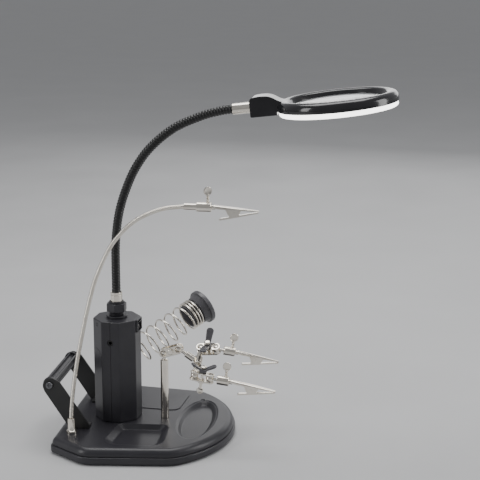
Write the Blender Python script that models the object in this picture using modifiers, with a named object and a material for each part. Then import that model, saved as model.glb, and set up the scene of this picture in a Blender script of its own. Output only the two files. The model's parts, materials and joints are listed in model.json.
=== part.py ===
"""Desk magnifier lamp with helping-hand clips, an iron holder and a solder spool holder.

Lengths are in millimetres and are scaled to metres when a mesh is made. +Z is up, +X runs from the
column to the round end of the base, and the origin is on the table under the column's centre line.
"""
import math

import bmesh
import bpy
from mathutils import Matrix, Vector

MM = 0.001
GAP = 0.3          # clearance left between neighbouring pieces
EPS = 0.5          # how far a cutter overruns a surface

# ---- driving dimensions ---------------------------------------------------------------------------
FOOT_HEIGHT = 0.5
PAN_TOP = 8.1
BASE_TOP = 16.0
BASE_ARC_RADIUS = 105.0
BASE_TIP = 118.0
SHOULDER = 6.5     # rounding of the base's upper edge

COLUMN_TOP = 120.0
COLUMN_TURN = -5.5  # degrees
COLUMN_HALF = 21.9  # half the width across two flats of the octagon
COLUMN_SIDE = COLUMN_HALF * math.tan(math.pi / 8)
COLUMN_WALL = 2.5
SEAM_X = 0.0       # where the column's two shells meet

LAMP_NECK_RADIUS = 4.5
CLIP_NECK_RADIUS = 2.1
HEAD_CENTRE = (216.6, 0.0, 339.3)
HEAD_TILT = 6.5    # degrees, far end up
RING_RADIUS = 57.0

CLIP_ARM_Y = -53.0
POST_X = 47.5
POST_RADIUS = 4.0
POST_TOP = 77.5
POST_BALL_Z = 84.7
BALL_RADIUS = 3.9
CLAMP_SPAN = 15.5  # between the two balls of a clamp
CLIP_STEM = 7.8    # from a clip's ball to its socket

COIL_RADIUS = 14.4
COIL_WIRE = 0.95
COIL_STEPS = 13    # straight steps in each turn
COIL_START = 11.9  # from the pivot, along the holder's axis
BUSH_START = 80.5
IRON_MOUTH = 104.5
IRON_PIVOT = (2.6, 31.0, 66.6)
IRON_AXIS = (0.665, 0.645, 0.377)

SPOOL_AXLE = (-59.0, 60.0)   # x and z of the roller's axis
SPOOL_ARM_Y = 41.0
ROLLER_HALF = 40.4

# ---- routes of the two bendable necks, in their own upright planes (x, z) -------------------------
LAMP_ROUTE = [(0, 134.5), (0, 155), (0, 175), (0.4, 194), (2.2, 212), (5.6, 230), (12.2, 250),
              (22, 271), (37, 291.3), (60, 310.3), (86, 322.3), (104, 327.6), (117, 329.9),
              (134, 331.8)]
LAMP_BENDS = (4, 9)          # the route's points where the neck is hinged
CLIP_ROUTE = [(-35, 17), (-35, 24), (-35, 33), (-33.6, 50), (-30.8, 70), (-27, 92), (-22.4, 114),
              (-16.4, 140), (-8.6, 168), (0, 189), (9, 206), (19.5, 219), (31, 229.5),
              (45, 237.6), (60, 243), (76, 245.2), (86, 245.6), (95.2, 245.6)]
CLIP_BENDS = (5, 13)

# ---- collections and materials --------------------------------------------------------------------
for old in list(bpy.data.objects):
    bpy.data.objects.remove(old)

PARTS = bpy.data.collections.new("magnifying_lamp")
TOOLS = bpy.data.collections.new("cutters")
for group in (PARTS, TOOLS):
    bpy.context.scene.collection.children.link(group)


def material(name, colour, roughness, metallic=0.0):
    """A plain Principled finish."""
    mat = bpy.data.materials.new(name)
    mat.use_nodes = True
    shader = mat.node_tree.nodes["Principled BSDF"]
    shader.inputs["Base Color"].default_value = (*colour, 1.0)
    shader.inputs["Roughness"].default_value = roughness
    shader.inputs["Metallic"].default_value = metallic
    return mat


BLACK_PLASTIC = material("black_plastic", (0.03, 0.03, 0.035), 0.5)
GLOSS_PLASTIC = material("gloss_plastic", (0.02, 0.02, 0.024), 0.2)
GREY_PLASTIC = material("grey_plastic", (0.10, 0.10, 0.11), 0.45)
BLACK_STEEL = material("black_steel", (0.03, 0.03, 0.03), 0.5, 0.3)
NICKEL = material("nickel", (0.75, 0.70, 0.62), 0.2, 1.0)
STEEL = material("steel", (0.45, 0.45, 0.46), 0.4, 1.0)
RUBBER = material("rubber", (0.02, 0.02, 0.02), 0.8)
BOARD = material("board", (0.85, 0.85, 0.82), 0.5)
DIFFUSER = material("diffuser", (0.95, 0.95, 0.95), 0.4)
GLASS = material("glass", (0.95, 0.97, 0.98), 0.05)
CELL = material("cell", (0.35, 0.30, 0.12), 0.4, 0.5)


# ---- frames, objects and modifiers ----------------------------------------------------------------
def frame(name, origin, x_axis=(1, 0, 0), z_axis=(0, 0, 1)):
    """An empty at origin whose X is x_axis and whose Z is as near z_axis as it can be."""
    x = Vector(x_axis).normalized()
    y = Vector(z_axis).cross(x).normalized()
    z = x.cross(y)
    turn = Matrix((x, y, z)).transposed().to_4x4()
    empty = bpy.data.objects.new(name, None)
    empty.empty_display_size = 0.01
    PARTS.objects.link(empty)
    empty.matrix_world = Matrix.Translation(Vector(origin) * MM) @ turn
    return empty


def in_frame(empty, point):
    """A point given in a frame's own millimetres, as world millimetres."""
    return tuple(empty.matrix_world @ (Vector(point) * MM) / MM)


def add(name, mesh, mat=None, parent=None):
    """Put a mesh in the scene as a part, in its parent frame's coordinates."""
    obj = bpy.data.objects.new(name, mesh)
    obj.parent = parent
    if mat:
        mesh.materials.append(mat)
    PARTS.objects.link(obj)
    mesh.shade_smooth()
    mesh.set_sharp_from_angle(angle=math.radians(35))
    return obj


def mesh_of(name, bm):
    """A bmesh built in millimetres as a mesh in metres."""
    bmesh.ops.scale(bm, vec=(MM, MM, MM), verts=bm.verts)
    mesh = bpy.data.meshes.new(name)
    bm.to_mesh(mesh)
    bm.free()
    return mesh


def combine(obj, tool, operation):
    """Join a tool to an object, or cut it away, with an exact Boolean."""
    for group in list(tool.users_collection):
        group.objects.unlink(tool)
    TOOLS.objects.link(tool)
    tool.parent = tool.parent or obj.parent
    tool.hide_render = True
    tool.display_type = "WIRE"
    change = obj.modifiers.new(tool.name, "BOOLEAN")
    change.operation = operation
    change.object = tool
    change.solver = "EXACT"
    return obj


def cut(obj, *tools):
    for tool in tools:
        combine(obj, tool, "DIFFERENCE")
    return obj


def join(obj, *tools):
    for tool in tools:
        combine(obj, tool, "UNION")
    return obj


# ---- shapes ---------------------------------------------------------------------------------------
def box(name, low, high, mat=None, parent=None):
    low, high = Vector(low), Vector(high)
    bm = bmesh.new()
    place = Matrix.Translation((low + high) / 2) @ Matrix.Diagonal((*(high - low), 1.0))
    bmesh.ops.create_cube(bm, size=1.0, matrix=place)
    return add(name, mesh_of(name, bm), mat, parent)


def rod(name, start, end, radius, mat=None, parent=None, sides=20, end_radius=None):
    """A cylinder, or a cone, between two points."""
    start, end = Vector(start), Vector(end)
    along = end - start
    place = Matrix.Translation((start + end) / 2) @ along.to_track_quat("Z", "Y").to_matrix().to_4x4()
    bm = bmesh.new()
    bmesh.ops.create_cone(bm, cap_ends=True, segments=sides, radius1=radius,
                          radius2=radius if end_radius is None else end_radius,
                          depth=along.length, matrix=place)
    return add(name, mesh_of(name, bm), mat, parent)


def ball(name, centre, radius, mat=None, parent=None, sides=14):
    bm = bmesh.new()
    bmesh.ops.create_uvsphere(bm, u_segments=sides, v_segments=sides // 2 + 1, radius=radius,
                              matrix=Matrix.Translation(centre))
    return add(name, mesh_of(name, bm), mat, parent)


def loft(name, rings, mat=None, parent=None):
    """A closed solid through rings of points, all with as many points and turning the same way."""
    bm = bmesh.new()
    loops = [[bm.verts.new(p) for p in ring] for ring in rings]
    count = len(loops[0])
    for lower, upper in zip(loops, loops[1:]):
        for i in range(count):
            j = (i + 1) % count
            bm.faces.new((lower[i], lower[j], upper[j], upper[i]))
    bm.faces.new(loops[0][::-1])
    bm.faces.new(loops[-1])
    bmesh.ops.recalc_face_normals(bm, faces=bm.faces)
    return add(name, mesh_of(name, bm), mat, parent)


def turned(name, profile, mat=None, parent=None, steps=32, closed=False, at=(0, 0, 0)):
    """A profile of (radius, height) points, outer side from top to bottom, turned round +Z."""
    mesh = bpy.data.meshes.new(name)
    points = [(r * MM, 0.0, z * MM) for r, z in profile]
    edges = [(i, i + 1) for i in range(len(points) - 1)]
    if closed:
        edges.append((len(points) - 1, 0))
    mesh.from_pydata(points, edges, [])
    obj = add(name, mesh, mat, parent)
    obj.location = Vector(at) * MM
    screw = obj.modifiers.new("turn", "SCREW")
    screw.steps = screw.render_steps = steps
    screw.use_merge_vertices = True
    screw.merge_threshold = 0.00001
    screw.use_smooth_shade = True
    return obj


def curve_mesh(name, curve_object):
    """A curve object as a welded mesh, with the curve removed."""
    bpy.context.view_layer.update()
    seen = curve_object.evaluated_get(bpy.context.evaluated_depsgraph_get())
    mesh = bpy.data.meshes.new_from_object(seen)
    mesh.name = name
    mesh.materials.clear()
    bm = bmesh.new()
    bm.from_mesh(mesh)
    bmesh.ops.remove_doubles(bm, verts=bm.verts, dist=0.000001)
    bmesh.ops.recalc_face_normals(bm, faces=bm.faces)
    bm.to_mesh(mesh)
    bm.free()
    bpy.data.objects.remove(curve_object)
    return mesh


def plate(name, outline, low, high, mat=None, parent=None, normal="Z"):
    """A flat outline made into a plate from low to high along its normal.

    The outline is (x, y) for a Z plate and (x, z) for a Y plate.
    """
    curve = bpy.data.curves.new(name, "CURVE")
    curve.dimensions = "2D"
    curve.fill_mode = "BOTH"
    curve.extrude = (high - low) / 2 * MM
    spline = curve.splines.new("POLY")
    spline.points.add(len(outline) - 1)
    for point, (x, y) in zip(spline.points, outline):
        point.co = (x * MM, y * MM, 0.0, 1.0)
    spline.use_cyclic_u = True
    flat = bpy.data.objects.new(name, curve)
    PARTS.objects.link(flat)
    mesh = curve_mesh(name, flat)
    middle = (low + high) / 2 * MM
    if normal == "Z":
        mesh.transform(Matrix.Translation((0, 0, middle)))
    else:
        mesh.transform(Matrix.Translation((0, middle, 0)) @ Matrix.Rotation(math.pi / 2, 4, "X"))
    return add(name, mesh, mat, parent)


def tube(name, points, radius, mat=None, parent=None, resolution=2):
    """A round wire or pipe along points, with closed ends."""
    curve = bpy.data.curves.new(name, "CURVE")
    curve.dimensions = "3D"
    curve.bevel_depth = radius * MM
    curve.bevel_resolution = resolution
    curve.use_fill_caps = True
    spline = curve.splines.new("POLY")
    spline.points.add(len(points) - 1)
    for point, place in zip(spline.points, points):
        point.co = (*(Vector(place) * MM), 1.0)
    wire = bpy.data.objects.new(name, curve)
    PARTS.objects.link(wire)
    return add(name, curve_mesh(name, wire), mat, parent)


def rounded(corners, radii, steps=4):
    """A closed outline with its corners rounded; radii is one number or one for each corner."""
    if not hasattr(radii, "__len__"):
        radii = [radii] * len(corners)
    outline = []
    for i, (corner, radius) in enumerate(zip(corners, radii)):
        here = Vector(corner)
        if not radius:
            outline.append(tuple(here))
            continue
        before = (Vector(corners[i - 1]) - here).normalized()
        after = (Vector(corners[(i + 1) % len(corners)]) - here).normalized()
        half = before.angle(after) / 2
        start = here + before * radius / math.tan(half)
        end = here + after * radius / math.tan(half)
        centre = here + (before + after).normalized() * radius / math.sin(half)
        first, last = start - centre, end - centre
        sweep = first.angle_signed(last)
        for k in range(steps + 1):
            outline.append(tuple(centre + Matrix.Rotation(-sweep * k / steps, 2) @ first))
    return outline


def inset(outline, distance):
    """An anticlockwise outline moved inwards by a distance."""
    moved = []
    for i, point in enumerate(outline):
        here = Vector(point)
        ahead = (Vector(outline[(i + 1) % len(outline)]) - here).normalized()
        behind = (here - Vector(outline[i - 1])).normalized()
        normal = (Vector((-ahead.y, ahead.x)) + Vector((-behind.y, behind.x))).normalized()
        grow = distance / max(0.5, normal.dot(Vector((-ahead.y, ahead.x))))
        moved.append(tuple(here + normal * grow))
    return moved


def at_height(outline, z):
    return [(x, y, z) for x, y in outline]


def ellipse(centre, half_x, half_y, count=40):
    turns = [2 * math.pi * k / count for k in range(count)]
    return [(centre[0] + half_x * math.cos(a), centre[1] + half_y * math.sin(a)) for a in turns]


def smooth(points, spacing):
    """Points about spacing apart along a Catmull-Rom curve through the given ones."""
    knots = [Vector(p) for p in points]
    knots = [2 * knots[0] - knots[1]] + knots + [2 * knots[-1] - knots[-2]]
    path = []
    for a, b, c, d in zip(knots, knots[1:], knots[2:], knots[3:]):
        steps = max(1, round((c - b).length / spacing))
        for k in range(steps):
            t = k / steps
            path.append(0.5 * (2 * b + (c - a) * t + (2 * a - 5 * b + 4 * c - d) * t ** 2
                               + (3 * b - a - 3 * c + d) * t ** 3))
    return [tuple(p) for p in path] + [tuple(points[-1])]


# ---- base -----------------------------------------------------------------------------------------
def base_outline():
    """D-shaped: a straight edge with cut corners by the spool, and one big arc at the other end."""
    centre = BASE_TIP - BASE_ARC_RADIUS
    corner = (73.0, 86.5)
    reach = math.asin(corner[1] / BASE_ARC_RADIUS) - 0.14
    count = 17
    turns = [reach * (2 * k / (count - 1) - 1) for k in range(count)]
    arc = [(centre + BASE_ARC_RADIUS * math.cos(a), BASE_ARC_RADIUS * math.sin(a)) for a in turns]
    front = [(-53.0, -69.0), (-14.0, -96.0), (corner[0], -corner[1])]
    back = [(x, -y) for x, y in reversed(front)]
    radii = [9.0, 24.0, 26.0]
    return rounded(front + arc + back, radii + [0] * count + radii[::-1])


def tray_cutter(side):
    """A parts tray: steep beside the column, with a long soft slope to the outer edge."""
    floor_z = BASE_TOP - 5.2
    rim = rounded([(4, 23.4), (57, 19.5), (61, 76), (-2, 79)], [9, 9, 15, 15])
    floor = rounded([(11, 26.5), (49, 23.5), (50, 63), (8, 65)], [5, 5, 8, 8])
    # depth below the top, and how far from the rim's outline to the floor's
    steps = [(-EPS, -0.02), (0.3, 0.05), (1.4, 0.25), (3.6, 0.7), (5.0, 0.95), (5.2, 1.0)]
    rings = []
    for depth, t in steps:
        mixed = [(a + (c - a) * t, b + (d - b) * t) for (a, b), (c, d) in zip(rim, floor)]
        if side < 0:
            mixed = [(x, -y) for x, y in reversed(mixed)]
        rings.append(at_height(mixed, max(floor_z, BASE_TOP - depth)))
    return loft("tray_cutter", rings)


def well_cutter():
    """The oval well, with a shallow step round it."""
    centre = (80.5, 0.0)
    steps = [(-EPS, 20.6, 54.6), (0.5, 19.8, 53.8), (0.9, 17.6, 51.4), (2.8, 15.2, 48.6),
             (4.4, 13.0, 46.0)]
    return loft("well_cutter", [at_height(ellipse(centre, a, b), BASE_TOP - d) for d, a, b in steps])


def make_base():
    outline = base_outline()
    arc = [(math.sin(k * math.pi / 8), math.cos(k * math.pi / 8)) for k in range(5)]
    lip = 1.6
    shell = loft("base_top", [at_height(inset(outline, lip), PAN_TOP + GAP)]
                 + [at_height(inset(outline, lip + SHOULDER * (1 - c)), BASE_TOP - SHOULDER * (1 - s))
                    for s, c in arc], BLACK_PLASTIC)
    cut(shell, tray_cutter(-1), tray_cutter(1), well_cutter())
    low = FOOT_HEIGHT + GAP
    pan = loft("base_pan", [at_height(inset(outline, d), z) for d, z in
                            ((1.0, low), (0.0, low + 1.0), (0.0, PAN_TOP - 0.8), (0.8, PAN_TOP))],
               BLACK_PLASTIC)
    pocket = inset(outline, 4.0)
    cut(pan, loft("pan_pocket", [at_height(pocket, 4.0), at_height(pocket, PAN_TOP + EPS)]))
    join(pan, rod("centre_rest", (0, 0, 0), (0, 0, low + 1), 12.0))
    weight = inset(outline, 4.0 + GAP)
    loft("weight_plate", [at_height(weight, 4.0 + GAP), at_height(weight, PAN_TOP - 0.2)], STEEL)
    for n, (x, y) in enumerate([(-34, -60), (66, -68), (-34, 60), (66, 68)], start=1):
        rod(f"foot_{n}", (x, y, 0), (x, y, FOOT_HEIGHT), 7.0, RUBBER)


# ---- column: battery case with the switch and the power inlet -------------------------------------
def column_outline(distance=0.0):
    half, side = COLUMN_HALF, COLUMN_SIDE
    points = [(half, side), (side, half), (-side, half), (-half, side)]
    points += [(-x, -y) for x, y in points]
    return inset(rounded(points, 2.0, 1), distance)


def column_shell(name, place, mat):
    """The whole hollow column, open below; each piece keeps its own share of it."""
    low = BASE_TOP + GAP
    shell = loft(name, [at_height(column_outline(d), z) for d, z in
                        ((0, low), (0, COLUMN_TOP - 1), (0.9, COLUMN_TOP))], mat, place)
    inner = column_outline(COLUMN_WALL)
    cut(shell, loft("column_hollow", [at_height(inner, low - EPS), at_height(inner, COLUMN_TOP - 3.5)],
                    parent=place))
    return shell


def door_cutter(place, grow):
    """The battery door's share of the column, with rounded upper corners."""
    edge, low, high = -COLUMN_SIDE + grow - 0.3, 24 - grow, 90 + grow
    outline = rounded([(-30, low), (edge, low), (edge, high), (-30, high)], [0, 2, 9, 0])
    return plate("door_cutter", outline, -30, 30, parent=place, normal="Y")


def make_column():
    place = frame("column_frame", (0, 0, 0),
                  (math.cos(math.radians(COLUMN_TURN)), math.sin(math.radians(COLUMN_TURN)), 0))
    jack_z = 98.8
    jack = (SEAM_X, jack_z)
    front = -COLUMN_HALF

    def seam_holes():
        """The holes that the two shells share: the power inlet's and the gland's."""
        return [rod("jack_hole", (jack[0], front - 1, jack_z), (jack[0], front + 5, jack_z), 3.1,
                    parent=place),
                rod("gland_hole", (0, 0, COLUMN_TOP - 6), (0, 0, COLUMN_TOP + 2), 6.0, parent=place)]

    left = column_shell("column_left", place, BLACK_PLASTIC)
    cut(left, box("right_of_seam", (SEAM_X - 0.15, -30, 0), (30, 30, 130), parent=place),
        door_cutter(place, GAP), *seam_holes())

    # in the switch's frame: X along the right facet, -Y outward, Z up
    switch = frame("switch_frame", in_frame(place, (COLUMN_HALF - 2.4, 0, 113.3)),
                   place.matrix_world.to_3x3() @ Vector((0, 1, 0)))
    right = column_shell("column_right", place, BLACK_PLASTIC)
    cut(right, box("left_of_seam", (-30, -30, 0), (SEAM_X + 0.15, 30, 130), parent=place))
    bezel = box("bezel", (-7.2, -4.4, -6.4), (7.2, -1.5, 6.4), parent=switch)
    join(right, bezel)
    cut(right, box("switch_slot", (-5.8, -6, -5.3), (5.8, 7, 5.3), parent=switch), *seam_holes())

    rocker = [(-3.6, -4.2), (-2.9, 0), (-5.0, 4.0)]
    rocker += [(4.95 * math.sin(a), 4.95 * math.cos(a))
               for a in (math.radians(20 + 20 * k) for k in range(8))]
    plate("power_switch", [(z, y) for y, z in rocker][::-1], -5.4, 5.4, GLOSS_PLASTIC,
          switch).data.transform(Matrix(((0, 0, 1, 0), (0, 1, 0, 0), (-1, 0, 0, 0), (0, 0, 0, 1))))

    cover = column_shell("battery_cover", place, BLACK_PLASTIC)
    whole = box("beside_door", (-40, -40, 0), (40, 40, 140), parent=place)
    cut(whole, door_cutter(place, 0.0))
    cut(cover, whole)

    pack = rod("battery_pack", (-8, -7.1, 30), (-8, -7.1, 80.5), 7.2, CELL, place)
    join(pack, rod("cell_2", (-8, 7.1, 30.1), (-8, 7.1, 80.4), 7.2, parent=place),
         rod("cell_3", (4.3, 0, 30.2), (4.3, 0, 80.3), 7.2, parent=place))

    inlet = rod("dc_jack", (jack[0], front + 0.5, jack_z), (jack[0], front + 11, jack_z), 2.75,
                GLOSS_PLASTIC, place)
    join(inlet, rod("jack_flange", (jack[0], front + 2.9, jack_z), (jack[0], front + 10.5, jack_z),
                    4.6, parent=place, sides=8))
    cut(inlet, rod("jack_bore", (jack[0], front - 1, jack_z), (jack[0], front + 8, jack_z), 1.8,
                   parent=place))


# ---- lamp: gland, bendable neck and ring head -----------------------------------------------------
def neck_pieces(prefix, route, bends, y, radius, mat, frames, spacing):
    """A bendable neck as three rigid lengths; each bend is a ball end inside the next one's reach."""
    path = [(x, y, z) for x, z in route]
    first, second = bends
    stretches = [path[:first + 1], path[first:second + 1], path[second:]]
    gap = radius + GAP + 0.2
    for n, (stretch, place) in enumerate(zip(stretches, frames), start=1):
        points = [Vector(p) for p in smooth(stretch, spacing)]
        if n > 1:
            while (points[1] - points[0]).length < gap and len(points) > 3:
                del points[1]
            points[0] = points[0] + (points[1] - points[0]).normalized() * gap
        origin = place.matrix_world.translation / MM if place else Vector()
        piece = tube(f"{prefix}_{n}", [tuple(p - origin) for p in points], radius, mat, place)
        if n < 3:
            join(piece, ball("bend_ball", points[-1] - origin, radius, parent=place, sides=16))


def make_gland():
    top = COLUMN_TOP
    gland = turned("gland_body", [(10.4, top + 2.2), (10.4, top + GAP), (5.6, top + GAP), (5.6, top - 5),
                                  (3.0, top - 5), (3.0, 133), (6.2, 133), (6.2, 136.6), (7.4, 136.6),
                                  (7.4, top + 2.2)], BLACK_PLASTIC, closed=True)
    nut_place = frame("gland_nut_frame", (0, 0, 130.4))
    nut = rod("gland_nut", (0, 0, -4.2), (0, 0, 4.2), 10.3, BLACK_PLASTIC, nut_place, sides=6)
    cut(nut, rod("nut_bore", (0, 0, -6), (0, 0, 6), 7.4 + GAP, parent=nut_place, sides=32))
    return gland


def make_lamp():
    make_gland()
    swivel = frame("lamp_swivel_frame", (0, 0, 134))
    bends = [(LAMP_ROUTE[b][0], 0, LAMP_ROUTE[b][1]) for b in LAMP_BENDS]
    elbow = frame("lamp_elbow_frame", bends[0])
    wrist = frame("lamp_wrist_frame", bends[1])
    turned("lower_ferrule", [(5.9, 145.8), (5.9, 133.3), (LAMP_NECK_RADIUS + GAP, 133.3),
                             (LAMP_NECK_RADIUS + GAP, 145.8)], NICKEL, swivel, closed=True,
           at=(0, 0, -134), steps=28)
    head = frame("head_frame", HEAD_CENTRE,
                 (math.cos(math.radians(HEAD_TILT)), 0, math.sin(math.radians(HEAD_TILT))))
    neck_pieces("lamp_neck", LAMP_ROUTE, LAMP_BENDS, 0, LAMP_NECK_RADIUS, BLACK_PLASTIC,
                (swivel, elbow, wrist), 9)
    make_head(head)


def make_head(head):
    axis_z = 1.9       # the neck's axis above the ring's middle
    ferrule = rod("upper_ferrule", (-100, 0, axis_z), (-76, 0, axis_z), 5.4, NICKEL, head, sides=28)
    cut(ferrule, rod("ferrule_bore", (-101, 0, axis_z), (-75, 0, axis_z), LAMP_NECK_RADIUS + GAP + 0.1,
                     parent=head, sides=28))
    shell = turned("head_shell", [(48.6, 5.4), (51.2, 5.7), (54.2, 4.6), (56.3, 2.4), (57.0, 0.0),
                                  (57.0, -4.0), (55.2, -4.0), (55.2, 1.2), (45.2, 1.2), (45.2, -4.0),
                                  (43.5, -4.0), (43.5, -1.2), (46.4, 4.6)], GLOSS_PLASTIC, head,
                   steps=56, closed=True)
    side = rounded([(-82.5, -6.8), (-56.7, -6.8), (-56.7, -3.7), (-55.6, -3.7), (-55.6, 1.6), (-50.5, 1.6),
                    (-50.5, 5.4), (-56, 7.2), (-63, 11.6), (-75, 12.6), (-82.5, 10.2)],
                   [1.5, 0, 0, 0, 0, 0, 0, 8, 9, 6, 2.5], 3)
    block = plate("neck_block", side, -11, 11, parent=head, normal="Y")
    join(shell, block)
    cut(shell, rod("ferrule_seat", (-90, 0, axis_z), (-70, 0, axis_z), 5.4 + GAP, parent=head, sides=28))
    turned("led_board", [(54.6, 0.8), (54.6, -0.6), (45.8, -0.6), (45.8, 0.8)], BOARD, head, steps=40,
           closed=True)
    turned("diffuser_ring", [(56.0, -4.3), (56.0, -7.4), (54.8, -8.7), (45.0, -8.7), (43.8, -7.6),
                             (43.8, -4.3)], DIFFUSER, head, steps=56, closed=True)
    edge = RING_RADIUS - 14.0
    dome = [(edge * math.sin(k * math.pi / 10), 3.4 * math.cos(k * math.pi / 10)) for k in range(6)]
    turned("lens", [(r, z) for r, z in dome] + [(r, -1.6 - z) for r, z in reversed(dome)], GLASS, head,
           steps=40)


# ---- spring clips ---------------------------------------------------------------------------------
def section(x, half, top, bottom):
    """A rectangle across a clip's length."""
    return [(x, -half, bottom), (x, half, bottom), (x, half, top), (x, -half, top)]


def make_clip(tag, origin, along, up, ball_reach=0.0, length=11.6, screw_x=8.2, coin_turn=0.0):
    """A clip in its socket: socket, thumb screw, fixed jaw and sprung jaw.

    In the clip's frame X runs from the socket to the tip and Z towards the thumb screw. Length is the
    socket's. Without a ball the socket has a sleeve for a bendable neck.
    """
    place = frame(f"clip_{tag}_frame", origin, along, up)
    socket = rod(f"socket_{tag}", (0, 0, 0), (length, 0, 0), 4.6, NICKEL, place, sides=24)
    if ball_reach:
        join(socket, rod("stem", (-ball_reach, 0, 0), (1, 0, 0), 1.4, parent=place, sides=12),
             ball("socket_ball", (-ball_reach, 0, 0), BALL_RADIUS, parent=place))
        cut(socket, rod("shank_bore", (4, 0, 0), (14, 0, 0), 2.6, parent=place))
    else:
        join(socket, rod("neck_sleeve", (-12, 0, 0), (1, 0, 0), 3.15, parent=place))
        cut(socket, rod("shank_bore", (-13, 0, 0), (length + 1, 0, 0), 2.6, parent=place))
    cut(socket, rod("screw_hole", (screw_x, 0, 1), (screw_x, 0, 6), 1.8, parent=place, sides=12))

    facing = place.matrix_world.to_3x3() @ Vector((math.cos(coin_turn), math.sin(coin_turn), 0))
    thumb_place = frame(f"thumb_{tag}_frame", in_frame(place, (screw_x, 0, 0)), facing, up)
    thumb = rod(f"thumb_screw_{tag}", (0, 0, 2.6), (0, 0, 12.5), 1.45, NICKEL, thumb_place, sides=12)
    join(thumb, rod("thumb_coin", (0, -0.8, 15), (0, 0.8, 15), 4.2, parent=thumb_place, sides=20))

    pivot = (34.5, 0, -4.9)
    back = length + 1.6
    body = loft(f"clip_body_{tag}", [section(back, 2.6, 2.2, -0.6), section(36, 3.2, 0.2, -1.8),
                                     section(58, 1.6, -2.0, -3.0)], NICKEL, place)
    join(body, rod("shank", (5.5 + length / 10, 0, 0), (back + 1, 0, 0), 2.1, parent=place, sides=16),
         plate("lug", rounded([(30, -7.4), (39, -7.4), (41.5, -1), (27.5, -1)], [3, 3, 0, 0], 3),
               -3.15, 3.15, parent=place, normal="Y"))
    cut(body, loft("clip_channel", [section(back + 4, 1.8, 0.9, -9), section(36, 2.3, -0.7, -9),
                                    section(60, 0.9, -2.9, -9)], parent=place))
    join(body, rod("pin", (pivot[0], -2.9, pivot[2]), (pivot[0], 2.9, pivot[2]), 0.8, parent=place,
                   sides=10))

    jaw_place = frame(f"jaw_{tag}_frame", in_frame(place, pivot), along, up)
    side = [(23.3, 1.6), (5.8, -1.8), (2.7, 1.4), (0.9, 2.3), (-0.9, 2.3), (-2.6, 1.2), (-4.6, -3.8),
            (-12.6, -5.4), (-13.6, -6.2), (-12.9, -7.2), (-5, -5.7), (8, -2.9), (23.3, 0.4)]
    jaw = plate(f"clip_jaw_{tag}", side, -1.7, 1.7, NICKEL, jaw_place, normal="Y")
    cut(jaw, rod("jaw_bore", (0, -3, 0), (0, 3, 0), 1.15, parent=jaw_place, sides=12))
    return place


def make_clip_arm():
    """The thin bendable arm that stands on the base and carries clip a."""
    x, z = CLIP_ROUTE[0]
    seat = frame("clip_arm_frame", (x, CLIP_ARM_Y, BASE_TOP))
    turned("clip_ferrule", [(3.6, 15), (3.6, 2.6), (5.2, 2.4), (5.2, GAP), (CLIP_NECK_RADIUS + GAP, GAP),
                            (CLIP_NECK_RADIUS + GAP, 15)], NICKEL, seat, closed=True, steps=20)
    bends = [(CLIP_ROUTE[b][0], CLIP_ARM_Y, CLIP_ROUTE[b][1]) for b in CLIP_BENDS]
    neck_pieces("clip_neck", CLIP_ROUTE, CLIP_BENDS, CLIP_ARM_Y, CLIP_NECK_RADIUS, NICKEL,
                (frame("clip_swivel_frame", (x, CLIP_ARM_Y, z)), frame("clip_bend_1_frame", bends[0]),
                 frame("clip_bend_2_frame", bends[1])), 6)
    make_clip("a", (91.0, CLIP_ARM_Y, 245.6), (1, 0, 0), (0, 0, 1), length=13.8, screw_x=10.4,
              coin_turn=math.radians(38))


# ---- helping hand: post, double-ball clamps and cross bar -----------------------------------------
def make_clamp(tag, origin, along, bolt_axis):
    """Two plates that pinch two balls. Z points to the nut's side."""
    place = frame(f"clamp_{tag}_frame", origin, along, bolt_axis)
    half = 4.4
    turns = [math.radians(-90 + 22.5 * k) for k in range(9)]
    outline = [(CLAMP_SPAN + half * math.cos(a), half * math.sin(a)) for a in turns]
    outline += [(-half * math.cos(a), -half * math.sin(a)) for a in turns]
    for side, low in (("back", -4.4), ("front", 3.0)):
        sheet = plate(f"clamp_{tag}_{side}", outline, low, low + 1.4, NICKEL, place)
        for x, radius in ((0, 3.05), (CLAMP_SPAN, 3.05), (CLAMP_SPAN / 2, 1.7)):
            cut(sheet, rod("clamp_hole", (x, 0, low - 1), (x, 0, low + 3), radius, parent=place,
                           sides=16))
    return place


def make_bolt(tag, clamp, head="nut", capped=False):
    """A clamp's bolt. Its head is a nut or a coin-shaped grip; capped leaves room for a wing nut."""
    x = CLAMP_SPAN / 2
    bolt = rod(f"clamp_{tag}_bolt", (x, 0, -12 if head == "coin" else -5.5), (x, 0, 10 if capped else 6.4),
               1.35, NICKEL, clamp, sides=12)
    join(bolt, rod("bolt_collar", (x, 0, -6.6), (x, 0, -4.7), 2.8, parent=clamp, sides=16))
    if head == "coin":
        join(bolt, rod("coin", (x, -0.8, -14.4), (x, 0.8, -14.4), 3.4, parent=clamp, sides=18))
    if capped:
        join(bolt, rod("bolt_cap", (x, 0, 9.8), (x, 0, 11.2), 3.0, parent=clamp, sides=18))
    else:
        join(bolt, rod("bolt_nut", (x, 0, 4.7), (x, 0, 7), 2.8, parent=clamp, sides=6))


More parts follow.
